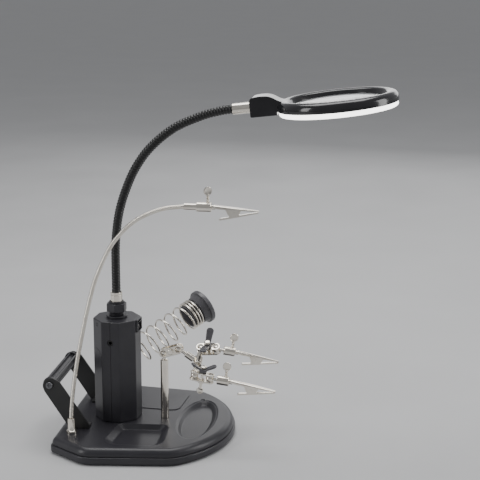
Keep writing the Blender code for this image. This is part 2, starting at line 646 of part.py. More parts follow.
def make_wing_nut(tag, clamp, turn, reach):
    """A wing nut with two flat blades that rise away from the clamp."""
    axes = clamp.matrix_world.to_3x3()
    place = frame(f"wing_nut_{tag}_frame", in_frame(clamp, (CLAMP_SPAN / 2, 0, 6.5)),
                  axes @ Vector((math.cos(turn), math.sin(turn), 0)), axes @ Vector((0, 0, 1)))
    nut = rod(f"wing_nut_{tag}", (0, 0, -1.8), (0, 0, 2.0), 3.7, GREY_PLASTIC, place, sides=20)
    rise = math.radians(27)
    for side in (-1, 1):
        blade = plate("blade", rounded([(1.5, -2.8), (reach, -4), (reach, 4), (1.5, 2.8)], [0, 3, 3, 0], 3),
                      -0.9, 0.9, parent=place)
        blade.data.transform(Matrix.Rotation(math.pi if side < 0 else 0, 4, "Z")
                             @ Matrix.Rotation(-rise, 4, "Y"))
        join(nut, blade)
    return cut(nut, rod("nut_thread", (0, 0, -4), (0, 0, 6), 1.35 + GAP, parent=place, sides=16))


def make_post():
    post = rod("post", (POST_X, 0, BASE_TOP + GAP), (POST_X, 0, POST_TOP), POST_RADIUS, NICKEL, sides=28)
    join(post, rod("post_neck", (POST_X, 0, POST_TOP - 1), (POST_X, 0, POST_BALL_Z), 1.7, sides=12),
         ball("post_ball", (POST_X, 0, POST_BALL_Z), BALL_RADIUS))


def make_helping_hand():
    make_post()
    rise = math.radians(17)
    place = make_clamp("post", (POST_X, 0, POST_BALL_Z), (math.cos(rise), 0, math.sin(rise)), (0, 1, 0))
    make_bolt("post", place)

    hinge = Vector(in_frame(place, (CLAMP_SPAN, 0, 0)))
    low, high = Vector((82, -22, 70)), Vector((81, 22, 82.2))
    middle = (low + high) / 2
    bar_place = frame("t_bar_frame", hinge)

    def local(point):
        return tuple(point - hinge)

    bar = rod("t_bar", local(low.lerp(high, 0.13)), local(low.lerp(high, 0.87)), 2.5, NICKEL, bar_place)
    join(bar, rod("bar_necks", local(low), local(high), 1.3, parent=bar_place, sides=12),
         ball("bar_ball_low", local(low), BALL_RADIUS, parent=bar_place),
         ball("bar_ball_high", local(high), BALL_RADIUS, parent=bar_place),
         rod("bar_hub", local(low.lerp(high, 0.37)), local(low.lerp(high, 0.63)), 4.4, parent=bar_place,
             sides=16),
         rod("bar_stem", (0, 0, 0), local(middle), 1.7, parent=bar_place, sides=12),
         rod("bar_sleeve", local(hinge.lerp(middle, 0.38)), local(hinge.lerp(middle, 0.78)), 3.3,
             parent=bar_place, sides=16),
         ball("bar_ball_stem", (0, 0, 0), BALL_RADIUS, parent=bar_place))

    # the far clamp has its wing nut in front; the near clamp lies flat, with its wing nut on top
    hands = [("b", high, (0.997, 0, 0.06), (0, -0.53, 0.85), 80, "nut", 18, (0.95, 0.24, -0.2)),
             ("c", low, (0.985, -0.06, -0.16), (0.16, 0, 0.985), 20, "coin", 14,
              (0.992, -0.04, -0.1))]
    for tag, start, along, bolt_axis, turn, head, reach, clip_along in hands:
        clamp = make_clamp(tag, start, along, bolt_axis)
        make_bolt(tag, clamp, head, capped=True)
        make_wing_nut(tag, clamp, math.radians(turn), reach)
        end = Vector(in_frame(clamp, (CLAMP_SPAN, 0, 0)))
        make_clip(tag, end + Vector(clip_along).normalized() * CLIP_STEM, clip_along, (0, 0, 1), CLIP_STEM)


# ---- soldering-iron holder ------------------------------------------------------------------------
def coil_points(start, first, last, pitch):
    """A helix along +X from x = start, between two numbers of steps round."""
    points = []
    for k in range(first, last + 1):
        turn = 2 * math.pi * k / COIL_STEPS
        points.append((start + pitch * (k - first) / COIL_STEPS, COIL_RADIUS * math.cos(turn),
                       COIL_RADIUS * math.sin(turn)))
    return points


def make_iron_holder():
    back = COLUMN_HALF
    column = bpy.data.objects["column_frame"]
    x, y, z = column.matrix_world.inverted() @ (Vector(IRON_PIVOT) * MM) / MM
    bracket = box("iron_bracket", (x - 8, back + GAP, z - 14), (x + 8, back + GAP + 2, z + 12), BLACK_STEEL,
                  column)
    join(bracket, box("bracket_arm", (x - 3.5, back + 1, z - 4), (x + 3.5, y + 3, z - 2.2), parent=column))

    place = frame("iron_frame", IRON_PIVOT, IRON_AXIS)
    open_steps = round(5.7 * COIL_STEPS)
    close_steps = round(3.2 * COIL_STEPS)
    open_part = coil_points(COIL_START, 0, open_steps, (BUSH_START - COIL_START) * COIL_STEPS / open_steps)
    close_part = coil_points(BUSH_START, open_steps, open_steps + close_steps, 3.4)
    tail = [(-1, 0, 0), (5, 0, 0), (9, 6, 0)]
    tube("iron_spring", tail + open_part + close_part[1:], COIL_WIRE, NICKEL, place, resolution=1)

    inner = COIL_RADIUS * math.cos(math.pi / COIL_STEPS) - COIL_WIRE - GAP
    barrel = BUSH_START + 3.4 * 3.2 + COIL_WIRE + GAP - IRON_MOUTH
    bush = turned("iron_bush", [(18.4, 0), (18.4, -5), (16.6, -5), (14.4, barrel), (inner, barrel),
                                (inner, -23.5), (11.2, -23.5), (11.2, 0)], GREY_PLASTIC, place, closed=True)
    bush.rotation_euler = (0, math.pi / 2, 0)
    bush.location = (IRON_MOUTH * MM, 0, 0)


# ---- solder spool holder --------------------------------------------------------------------------
def make_spool_holder():
    ax, az = SPOOL_AXLE
    foot = BASE_TOP + GAP
    outline = rounded([(-40, foot), (-20, foot), (-20, foot + 4), (ax + 9.5, az + 4), (ax, az + 8.5),
                       (ax - 8, az + 1), (ax - 5, az - 7)], [1.5, 1.5, 4, 6, 7, 7, 5])
    for name, side in (("spool_arm_near", -1), ("spool_arm_far", 1)):
        low, high = sorted((side * SPOOL_ARM_Y, side * (SPOOL_ARM_Y + 2)))
        arm = plate(name, outline, low, high, BLACK_STEEL, normal="Y")
        tab_low, tab_high = sorted((side * 29, side * (SPOOL_ARM_Y + 1)))
        join(arm, box("foot_tab", (-36, tab_low, foot), (-21, tab_high, foot + 2)))
        cut(arm, rod("axle_hole", (ax, low - 1, az), (ax, high + 1, az), 2.3, sides=16))

    rod("spool_spindle", (ax, -SPOOL_ARM_Y - 3.6, az), (ax, SPOOL_ARM_Y + 3.6, az), 2.0, STEEL, sides=16)
    for side in (-1, 1):
        join(bpy.data.objects["spool_spindle"],
             rod("spindle_head", (ax, side * (SPOOL_ARM_Y + 2.3), az), (ax, side * (SPOOL_ARM_Y + 4), az),
                 3.6, sides=16))

    place = frame("roller_frame", (ax, 0, az))
    roller = rod("spool_roller", (0, -ROLLER_HALF, 0), (0, ROLLER_HALF, 0), 4.4, BLACK_PLASTIC, place)
    for side in (-1, 1):
        join(roller, rod("roller_flange", (0, side * (ROLLER_HALF - 2), 0),
                         (0, side * (ROLLER_HALF + 0.1), 0), 7.2, parent=place))
    for k in range(3):
        rib = box("roller_rib", (-6.7, -ROLLER_HALF + 1, -0.8), (6.7, ROLLER_HALF - 1, 0.8), parent=place)
        rib.data.transform(Matrix.Rotation(k * math.pi / 3 + 0.3, 4, "Y"))
        join(roller, rib)
    cut(roller, rod("roller_bore", (0, -ROLLER_HALF - 2, 0), (0, ROLLER_HALF + 2, 0), 2.4, parent=place,
                    sides=16))


make_base()
make_column()
make_lamp()
make_clip_arm()
make_helping_hand()
make_iron_holder()
make_spool_holder()
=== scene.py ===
"""Looks for the desk magnifier lamp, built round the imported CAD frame.

Shapes are given in millimetres and become metres when a mesh is made. +Z is up, +X runs from the column
to the round end of the base, and the origin is on the table under the column.
"""
import json
import math

import bmesh
import bpy
from mathutils import Matrix, Vector


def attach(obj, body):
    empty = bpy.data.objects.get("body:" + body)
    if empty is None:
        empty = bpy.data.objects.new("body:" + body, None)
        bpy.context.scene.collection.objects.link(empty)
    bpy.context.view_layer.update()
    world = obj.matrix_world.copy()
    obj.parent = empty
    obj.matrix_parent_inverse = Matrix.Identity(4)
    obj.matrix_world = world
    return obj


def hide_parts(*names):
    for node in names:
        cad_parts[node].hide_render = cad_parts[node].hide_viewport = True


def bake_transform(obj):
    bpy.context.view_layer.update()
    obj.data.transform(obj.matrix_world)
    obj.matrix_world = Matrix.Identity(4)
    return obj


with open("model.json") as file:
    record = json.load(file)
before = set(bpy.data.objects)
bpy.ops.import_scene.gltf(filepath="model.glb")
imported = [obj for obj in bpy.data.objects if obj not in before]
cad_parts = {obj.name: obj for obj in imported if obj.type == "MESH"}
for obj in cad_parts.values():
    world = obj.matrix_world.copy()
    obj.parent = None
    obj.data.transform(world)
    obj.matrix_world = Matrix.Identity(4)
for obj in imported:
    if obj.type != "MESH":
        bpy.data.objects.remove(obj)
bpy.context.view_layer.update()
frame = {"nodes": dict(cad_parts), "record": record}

MM = 0.001
GAP = 0.3
BODY = {node: body for body, nodes in frame["record"]["behaviour"]["bodies"].items() for node in nodes}
SLOT = {row["node"]: row["material_slot"] for row in frame["record"]["subparts"]}

# ---- driving dimensions, the same as the CAD's ---------------------------------------------------
PAN_TOP = 8.1
BASE_TOP = 16.0
SHOULDER = 6.5
COLUMN_TOP = 120.0
COLUMN_TURN = math.radians(-5.5)
COLUMN_HALF = 21.9
COLUMN_SIDE = COLUMN_HALF * math.tan(math.pi / 8)
SEAM_X = 0.0
LAMP_NECK_RADIUS = 4.5
CLIP_NECK_RADIUS = 2.1
HEAD_CENTRE = (216.6, 0.0, 339.3)
HEAD_TILT = math.radians(6.5)
CLIP_ARM_Y = -53.0
POST_X = 47.5
POST_BALL = (47.5, 0, 84.7)
BALL_RADIUS = 3.9
CLAMP_SPAN = 15.5
CLIP_STEM = 7.8
COIL_RADIUS = 14.4
COIL_WIRE = 0.95
COIL_START = 11.9
BUSH_START = 80.5
IRON_MOUTH = 104.5
IRON_PIVOT = (2.6, 31.0, 66.6)
IRON_AXIS = (0.665, 0.645, 0.377)
SPOOL_AXLE = (-59.0, 60.0)
SPOOL_ARM_Y = 41.0
ROLLER_HALF = 40.4
LAMP_ROUTE = [(0, 134.5), (0, 155), (0, 175), (0.4, 194), (2.2, 212), (5.6, 230), (12.2, 250),
              (22, 271), (37, 291.3), (60, 310.3), (86, 322.3), (104, 327.6), (117, 329.9),
              (134, 331.8)]
CLIP_ROUTE = [(-35, 17), (-35, 24), (-35, 33), (-33.6, 50), (-30.8, 70), (-27, 92), (-22.4, 114),
              (-16.4, 140), (-8.6, 168), (0, 189), (9, 206), (19.5, 219), (31, 229.5),
              (45, 237.6), (60, 243), (76, 245.2), (86, 245.6), (95.2, 245.6)]


# ---- finishes ----------------------------------------------------------------------------------------
def finish(name, dark, light, rough, metallic=0.0, broad=55.0, grain=1500.0, depth=0.03, coat=0.0,
           stretch=(1, 1, 1), specular=0.5):
    """Tone and roughness drift over a broad noise, and a fine noise raises the surface."""
    mat = bpy.data.materials.new(name)
    mat.use_nodes = True
    nodes, links = mat.node_tree.nodes, mat.node_tree.links
    shader = nodes["Principled BSDF"]
    shader.inputs["Metallic"].default_value = metallic
    shader.inputs["Coat Weight"].default_value = coat
    shader.inputs["Coat Roughness"].default_value = 0.12
    shader.inputs["Specular IOR Level"].default_value = specular
    place = nodes.new("ShaderNodeTexCoord")
    scale = nodes.new("ShaderNodeMapping")
    scale.inputs["Scale"].default_value = stretch
    links.new(place.outputs["Object"], scale.inputs["Vector"])
    drift = nodes.new("ShaderNodeTexNoise")
    drift.inputs["Scale"].default_value = broad
    drift.inputs["Detail"].default_value = 5.0
    links.new(scale.outputs["Vector"], drift.inputs["Vector"])
    tone = nodes.new("ShaderNodeValToRGB")
    tone.color_ramp.elements[0].position = 0.3
    tone.color_ramp.elements[0].color = (*dark, 1)
    tone.color_ramp.elements[1].position = 0.7
    tone.color_ramp.elements[1].color = (*light, 1)
    links.new(drift.outputs["Fac"], tone.inputs["Fac"])
    links.new(tone.outputs["Color"], shader.inputs["Base Color"])
    spread = nodes.new("ShaderNodeMapRange")
    spread.inputs["From Min"].default_value = 0.3
    spread.inputs["From Max"].default_value = 0.7
    spread.inputs["To Min"].default_value = rough[0]
    spread.inputs["To Max"].default_value = rough[1]
    links.new(drift.outputs["Fac"], spread.inputs["Value"])
    links.new(spread.outputs["Result"], shader.inputs["Roughness"])
    fine = nodes.new("ShaderNodeTexNoise")
    fine.inputs["Scale"].default_value = grain
    fine.inputs["Detail"].default_value = 3.0
    links.new(scale.outputs["Vector"], fine.inputs["Vector"])
    bump = nodes.new("ShaderNodeBump")
    bump.inputs["Strength"].default_value = 0.6
    bump.inputs["Distance"].default_value = depth * MM
    links.new(fine.outputs["Fac"], bump.inputs["Height"])
    links.new(bump.outputs["Normal"], shader.inputs["Normal"])
    return mat


FINISH = {
    "black_plastic": finish("satin_black_moulding", (0.026, 0.025, 0.030), (0.034, 0.033, 0.039),
                            (0.33, 0.37), depth=0.02),
    "black_gloss": finish("gloss_black_moulding", (0.012, 0.012, 0.014), (0.017, 0.016, 0.019),
                          (0.12, 0.2), depth=0.01, grain=600, coat=0.4),
    "neck_black": finish("black_neck", (0.010, 0.010, 0.010), (0.017, 0.017, 0.017), (0.26, 0.38),
                         depth=0.03, broad=150),
    "grey_plastic": finish("dark_grey_moulding", (0.075, 0.073, 0.080), (0.105, 0.102, 0.110),
                           (0.24, 0.36), depth=0.02),
    "black_steel": finish("black_paint", (0.018, 0.018, 0.018), (0.026, 0.026, 0.026), (0.42, 0.56),
                          grain=700, depth=0.06),
    "nickel": finish("bright_nickel", (0.82, 0.76, 0.67), (0.93, 0.89, 0.81), (0.10, 0.2), 1.0,
                     broad=180, grain=900, depth=0.008, stretch=(1, 1, 0.35)),
    "steel": finish("dark_steel", (0.13, 0.13, 0.14), (0.20, 0.20, 0.21), (0.24, 0.38), 1.0,
                    broad=160, depth=0.01, stretch=(0.3, 1, 1)),
    "rubber": finish("rubber", (0.014, 0.014, 0.014), (0.024, 0.024, 0.024), (0.72, 0.88), depth=0.08),
    "lens_glass": finish("lens_glass", (0.97, 0.985, 0.98), (0.99, 1.0, 1.0), (0.0, 0.035), grain=90,
                         depth=0.002),
    "diffuser_white": finish("diffuser", (0.86, 0.87, 0.88), (0.93, 0.93, 0.93), (0.34, 0.48),
                             depth=0.03),
    "board_white": finish("board", (0.70, 0.71, 0.68), (0.80, 0.80, 0.77), (0.38, 0.52), depth=0.02),
    "battery_wrap": finish("cell_sleeve", (0.20, 0.17, 0.07), (0.32, 0.27, 0.11), (0.25, 0.4), 0.3,
                           depth=0.02),
    "jack_black": finish("jack", (0.012, 0.012, 0.012), (0.02, 0.02, 0.02), (0.3, 0.4), depth=0.02),
}
glass = FINISH["lens_glass"].node_tree.nodes["Principled BSDF"]
glass.inputs["Transmission Weight"].default_value = 1.0
glass.inputs["IOR"].default_value = 1.49
glow = FINISH["diffuser_white"].node_tree.nodes["Principled BSDF"]
glow.inputs["Emission Color"].default_value = (1.0, 0.99, 0.97, 1.0)
glow.inputs["Emission Strength"].default_value = 4.0
BRASS = finish("brass", (0.62, 0.43, 0.17), (0.78, 0.58, 0.27), (0.22, 0.34), 1.0, broad=200, depth=0.01)


# ---- placing and finishing pieces --------------------------------------------------------------------
def axes(origin=(0, 0, 0), x_axis=(1, 0, 0), z_axis=(0, 0, 1)):
    """A place at origin, in millimetres, whose X is x_axis and whose Z is as near z_axis as it can be."""
    x = Vector(x_axis).normalized()
    y = Vector(z_axis).cross(x).normalized()
    turn = Matrix((x, y, x.cross(y))).transposed().to_4x4()
    return Matrix.Translation(Vector(origin) * MM) @ turn


def within(place, point):
    """A point in a place's own millimetres, as world millimetres."""
    return tuple(place @ (Vector(point) * MM) / MM)


WORLD = axes()


def add(name, bm, place=WORLD):
    """A mesh built in millimetres as an object in its place."""
    bmesh.ops.scale(bm, vec=(MM, MM, MM), verts=bm.verts)
    mesh = bpy.data.meshes.new(name)
    bm.to_mesh(mesh)
    bm.free()
    obj = bpy.data.objects.new(name, mesh)
    bpy.context.scene.collection.objects.link(obj)
    obj.matrix_world = place
    return obj


def settle(obj):
    """Make an object's modifiers part of its mesh."""
    bpy.context.view_layer.update()
    seen = obj.evaluated_get(bpy.context.evaluated_depsgraph_get())
    mesh = bpy.data.meshes.new_from_object(seen)
    obj.modifiers.clear()
    obj.data = mesh
    return obj


def combine(obj, tools, operation):
    for tool in tools:
        change = obj.modifiers.new(tool.name, "BOOLEAN")
        change.operation = operation
        change.object = tool
        change.solver = "EXACT"
    settle(obj)
    for tool in tools:
        bpy.data.objects.remove(tool)
    return obj


def cut(obj, *tools):
    return combine(obj, tools, "DIFFERENCE")


def join(obj, *tools):
    return combine(obj, tools, "UNION")


def soften(obj, width, segments=3, angle=35.0):
    """Round the edges of a piece that are sharper than an angle."""
    rounding = obj.modifiers.new("edges", "BEVEL")
    rounding.width = width * MM
    rounding.segments = segments
    rounding.limit_method = "ANGLE"
    rounding.angle_limit = math.radians(angle)
    rounding.use_clamp_overlap = True
    return obj


def dress(obj, *nodes, body=None, mat=None, edge=0.0, segments=2, crease=40.0, weighted=False):
    """Give a piece its finish and let it ride; it takes the place of the CAD nodes."""
    obj.data.materials.clear()
    obj.data.materials.append(mat or FINISH[SLOT[nodes[0]]])
    obj.data.shade_smooth()
    obj.data.set_sharp_from_angle(angle=math.radians(crease))
    if edge:
        soften(obj, edge, segments)
    if weighted or edge:
        even = obj.modifiers.new("normals", "WEIGHTED_NORMAL")
        even.keep_sharp = True
    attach(obj, body or BODY[nodes[0]])
    if nodes:
        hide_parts(*nodes)
    return obj


def keep(*nodes, edge=0.15):
    """Show CAD nodes themselves, with rounded edges and a real finish."""
    for node in nodes:
        obj = frame["nodes"][node]
        obj.data.materials.clear()
        obj.data.materials.append(FINISH[SLOT[node]])
        obj.data.shade_smooth()
        obj.data.set_sharp_from_angle(angle=math.radians(35))
        soften(obj, edge)


# ---- shapes ------------------------------------------------------------------------------------------
def box(low, high, place=WORLD, name="box"):
    low, high = Vector(low), Vector(high)
    bm = bmesh.new()
    fit = Matrix.Translation((low + high) / 2) @ Matrix.Diagonal((*(high - low), 1.0))
    bmesh.ops.create_cube(bm, size=1.0, matrix=fit)
    return add(name, bm, place)


def rod(start, end, radius, place=WORLD, sides=48, end_radius=None, name="rod"):
    start, end = Vector(start), Vector(end)
    along = end - start
    fit = Matrix.Translation((start + end) / 2) @ along.to_track_quat("Z", "Y").to_matrix().to_4x4()
    bm = bmesh.new()
    bmesh.ops.create_cone(bm, cap_ends=True, segments=sides, radius1=radius,
                          radius2=radius if end_radius is None else end_radius,
                          depth=along.length, matrix=fit)
    return add(name, bm, place)


def ball(centre, radius, place=WORLD, name="ball"):
    bm = bmesh.new()
    bmesh.ops.create_uvsphere(bm, u_segments=32, v_segments=20, radius=radius,
                              matrix=Matrix.Translation(centre))
    return add(name, bm, place)


def loft(rings, place=WORLD, name="loft", capped=True):
    """A skin through rings of points, all with as many points and turning the same way."""
    bm = bmesh.new()
    loops = [[bm.verts.new(p) for p in ring] for ring in rings]
    count = len(loops[0])
    for lower, upper in zip(loops, loops[1:]):
        for i in range(count):
            j = (i + 1) % count
            bm.faces.new((lower[i], lower[j], upper[j], upper[i]))
    if capped:
        bm.faces.new(loops[0][::-1])
        bm.faces.new(loops[-1])
    bmesh.ops.recalc_face_normals(bm, faces=bm.faces)
    return add(name, bm, place)


def turned(profile, place=WORLD, steps=96, name="turned"):
    """A closed profile of (radius, height) points turned round the place's Z."""
    bm = bmesh.new()
    loops = []
    for k in range(steps):
        a = 2 * math.pi * k / steps
        loops.append([bm.verts.new((r * math.cos(a), r * math.sin(a), z)) for r, z in profile])
    count = len(profile)
    for k, loop in enumerate(loops):
        after = loops[(k + 1) % steps]
        for i in range(count):
            j = (i + 1) % count
            bm.faces.new((loop[i], loop[j], after[j], after[i]))
    bmesh.ops.remove_doubles(bm, verts=bm.verts, dist=0.0001)
    bmesh.ops.recalc_face_normals(bm, faces=bm.faces)
    return add(name, bm, place)


def plate(outline, low, high, place=WORLD, normal="Z", name="plate"):
    """A flat outline from low to high: (x, y) points for a Z plate, (x, z) points for a Y plate."""
    if normal == "Z":
        rings = [[(x, y, z) for x, y in outline] for z in (low, high)]
    else:
        rings = [[(x, y, z) for x, z in outline] for y in (low, high)]
    return loft(rings, place, name)


def rounded(corners, radii, steps=8):
    """A closed outline with its corners rounded; radii is one number or one for each corner."""
    if not hasattr(radii, "__len__"):
        radii = [radii] * len(corners)
    outline = []
    for i, (corner, radius) in enumerate(zip(corners, radii)):
        here = Vector(corner)
        if not radius:
            outline.append(tuple(here))
            continue
        before = (Vector(corners[i - 1]) - here).normalized()
        after = (Vector(corners[(i + 1) % len(corners)]) - here).normalized()
        half = before.angle(after) / 2
        start = here + before * radius / math.tan(half)
        end = here + after * radius / math.tan(half)
        centre = here + (before + after).normalized() * radius / math.sin(half)
        first, last = start - centre, end - centre
        sweep = first.angle_signed(last)
        for k in range(steps + 1):
            outline.append(tuple(centre + Matrix.Rotation(-sweep * k / steps, 2) @ first))
    return outline


def inset(outline, distance):
    """An anticlockwise outline moved inwards by a distance."""
    moved = []
    for i, point in enumerate(outline):
        here = Vector(point)
        ahead = (Vector(outline[(i + 1) % len(outline)]) - here).normalized()
        behind = (here - Vector(outline[i - 1])).normalized()
        normal = (Vector((-ahead.y, ahead.x)) + Vector((-behind.y, behind.x))).normalized()
        grow = distance / max(0.5, normal.dot(Vector((-ahead.y, ahead.x))))
        moved.append(tuple(here + normal * grow))
    return moved


def at_height(outline, z):
    return [(x, y, z) for x, y in outline]


def smooth(points, spacing):
    """Points about spacing apart along a Catmull-Rom curve through the given ones."""
    knots = [Vector(p) for p in points]
    knots = [2 * knots[0] - knots[1]] + knots + [2 * knots[-1] - knots[-2]]
    path = []
    for a, b, c, d in zip(knots, knots[1:], knots[2:], knots[3:]):
        steps = max(1, round((c - b).length / spacing))
        for k in range(steps):
            t = k / steps
            path.append(0.5 * (2 * b + (c - a) * t + (2 * a - 5 * b + 4 * c - d) * t ** 2
                               + (3 * b - a - 3 * c + d) * t ** 3))
    return [tuple(p) for p in path] + [tuple(points[-1])]


def ellipse(centre, half_x, half_y, count=128):
    turns = [2 * math.pi * k / count for k in range(count)]
    return [(centre[0] + half_x * math.cos(a), centre[1] + half_y * math.sin(a)) for a in turns]


def sweep(path, radius_at, sides, place=WORLD, name="sweep", caps=(True, True)):
    """A round skin along a 3-D path; radius_at(distance, turn) gives its radius."""
    points = [Vector(p) for p in path]
    bm = bmesh.new()
    loops = []
    side = None
    travelled = 0.0
    for i, here in enumerate(points):
        ahead = (points[min(i + 1, len(points) - 1)] - points[max(i - 1, 0)]).normalized()
        if side is None:
            side = ahead.cross(Vector((0, 1, 0)) if abs(ahead.y) < 0.9 else Vector((1, 0, 0))).normalized()
        side = (side - ahead * side.dot(ahead)).normalized()
        up = ahead.cross(side)
        if i:
            travelled += (here - points[i - 1]).length
        loop = []
        for k in range(sides):
            turn = 2 * math.pi * k / sides
            r = radius_at(travelled, turn)
            loop.append(bm.verts.new(here + (side * math.cos(turn) + up * math.sin(turn)) * r))
        loops.append(loop)
    for lower, upper in zip(loops, loops[1:]):
        for k in range(sides):
            j = (k + 1) % sides
            bm.faces.new((lower[k], lower[j], upper[j], upper[k]))
    if caps[0]:
        bm.faces.new(loops[0][::-1])
    if caps[1]:
        bm.faces.new(loops[-1])
    bmesh.ops.recalc_face_normals(bm, faces=bm.faces)
    return add(name, bm, place)


def cross_head(centre, radius, height, place, body, name, mat):
    """A small pan-head screw with a cross recess, its head towards the place's +Z."""
    x, y, z = centre
    fit = place @ Matrix.Translation(Vector(centre) * MM)
    head = turned([(0, 0), (radius, 0), (radius, height * 0.45), (radius * 0.86, height * 0.8),
                   (radius * 0.55, height * 0.97), (0, height)], fit, 40, name)
    arm = radius * 0.62
    cut(head, box((-arm, -0.32, height * 0.4), (arm, 0.32, height * 2), fit),
        box((-0.32, -arm, height * 0.4), (0.32, arm, height * 2), fit))
    return dress(head, body=body, mat=mat, edge=0.08)


# ---- base --------------------------------------------------------------------------------------------
def base_outline():
    """D-shaped: a straight edge with cut corners by the spool, and one big arc at the other end."""
    arc_radius, tip, corner = 105.0, 118.0, (73.0, 86.5)
    reach = math.asin(corner[1] / arc_radius) - 0.14
    count = 85
    turns = [reach * (2 * k / (count - 1) - 1) for k in range(count)]
    arc = [(tip - arc_radius + arc_radius * math.cos(a), arc_radius * math.sin(a)) for a in turns]
    front = [(-53.0, -69.0), (-14.0, -96.0), (corner[0], -corner[1])]
    back = [(x, -y) for x, y in reversed(front)]
    radii = [9.0, 24.0, 26.0]
    return rounded(front + arc + back, radii + [0] * count + radii[::-1], 16)


def eased(t, first=0.16, last=0.24):
    """A slope that starts and ends level, from 0 to 1."""
    top = 1 / (1 - first / 2 - last / 2)
    if t < first:
        return top * t * t / (2 * first)
    if t > 1 - last:
        return 1 - top * (1 - t) ** 2 / (2 * last)
    return top * (t - first / 2)


def tray_cutter(side):
    rim = rounded([(4, 23.4), (57, 19.5), (61, 76), (-2, 79)], [9, 9, 15, 15], 14)
    floor = rounded([(11, 26.5), (49, 23.5), (50, 63), (8, 65)], [5, 5, 8, 8], 14)
    stations = [(-0.6, -0.06)] + [(5.2 * eased(k / 20), k / 20) for k in range(1, 21)]
    rings = []
    for depth, t in stations:
        mixed = [(a + (c - a) * t, b + (d - b) * t) for (a, b), (c, d) in zip(rim, floor)]
        if side < 0:
            mixed = [(x, -y) for x, y in reversed(mixed)]
        rings.append(at_height(mixed, BASE_TOP - depth))
    return loft(rings)


def well_cutter():
    rings = [(-0.5, 20.5, 54.5)]
    for k in range(1, 9):
        t = k / 8
        rings.append((0.85 * eased(t, 0.4, 0.4), 20.2 - 2.4 * t, 54.2 - 2.6 * t))
    for k in range(1, 17):
        t = k / 16
        rings.append((0.85 + 3.55 * eased(t, 0.2, 0.3), 17.8 - 4.8 * t, 51.6 - 5.6 * t))
    return loft([at_height(ellipse((80.5, 0), a, b), BASE_TOP - d) for d, a, b in rings])


def make_base():
    outline = base_outline()
    rings = [(2.1, 0.0), (1.7, 0.12), (1.6, 0.5), (1.6, 1.2)]
    for k in range(13):
        a = math.pi / 2 * k / 12
        rings.append((1.6 + SHOULDER * (1 - math.cos(a)), BASE_TOP - SHOULDER * (1 - math.sin(a)) - PAN_TOP - GAP))
    shell = loft([at_height(inset(outline, d), PAN_TOP + GAP + h) for d, h in rings], name="base_shell")
    cut(shell, tray_cutter(-1), tray_cutter(1), well_cutter())
    cut(shell, ball((77.2, 53.6, BASE_TOP + 1.2), 2.6))
    dress(shell, "base_top", weighted=True, crease=50)
    pan_rings = [(2.2, 0.8), (1.1, 0.95), (0.4, 1.5), (0.0, 2.6), (0.0, PAN_TOP - 1.3),
                 (0.25, PAN_TOP - 0.55), (0.8, PAN_TOP - 0.1), (1.5, PAN_TOP)]
    pan = loft([at_height(inset(outline, d), z) for d, z in pan_rings], name="base_tray_pan")
    pocket = inset(outline, 4.0)
    cut(pan, loft([at_height(pocket, 4.0), at_height(pocket, PAN_TOP + 1)]))
    join(pan, rod((0, 0, 0), (0, 0, 1.8), 12.0, sides=64))
    dress(pan, "base_pan", weighted=True)
    for n, (x, y) in enumerate([(-34, -60), (66, -68), (-34, 60), (66, 68)], start=1):
        pad = turned([(0, 0), (6.4, 0), (6.9, 0.12), (7.0, 0.25), (7.0, 0.5), (0, 0.5)],
                     axes((x, y, 0)), 48, f"rubber_foot_{n}")
        dress(pad, f"foot_{n}")
    keep("weight_plate")


# ---- column ------------------------------------------------------------------------------------------
COLUMN = axes((0, 0, 0), (math.cos(COLUMN_TURN), math.sin(COLUMN_TURN), 0))


def column_outline(distance=0.0):
    half, side = COLUMN_HALF, COLUMN_SIDE
    points = [(half, side), (side, half), (-side, half), (-half, side)]
    points += [(-x, -y) for x, y in points]
    return rounded(inset(points, distance), max(0.6, 2.2 - distance), 7)


def column_shell(name):
    low = BASE_TOP + GAP
    edge = [(0.9 * (1 - math.cos(a)), COLUMN_TOP - 0.9 * (1 - math.sin(a)))
            for a in (math.pi / 2 * k / 5 for k in range(6))]
    shell = loft([at_height(column_outline(d), z) for d, z in [(0.3, low), (0, low + 0.3)] + edge],
                 COLUMN, name)
    inner = column_outline(2.5)
    return cut(shell, loft([at_height(inner, low - 1), at_height(inner, COLUMN_TOP - 3.5)], COLUMN))


def door_cutter(grow):
    edge, low, high = -COLUMN_SIDE + grow - 0.3, 24 - grow, 90 + grow
    outline = rounded([(-30, low), (edge, low), (edge, high), (-30, high)], [0, 2, 9, 0], 14)
    return plate(outline, -30, 30, COLUMN, "Y")


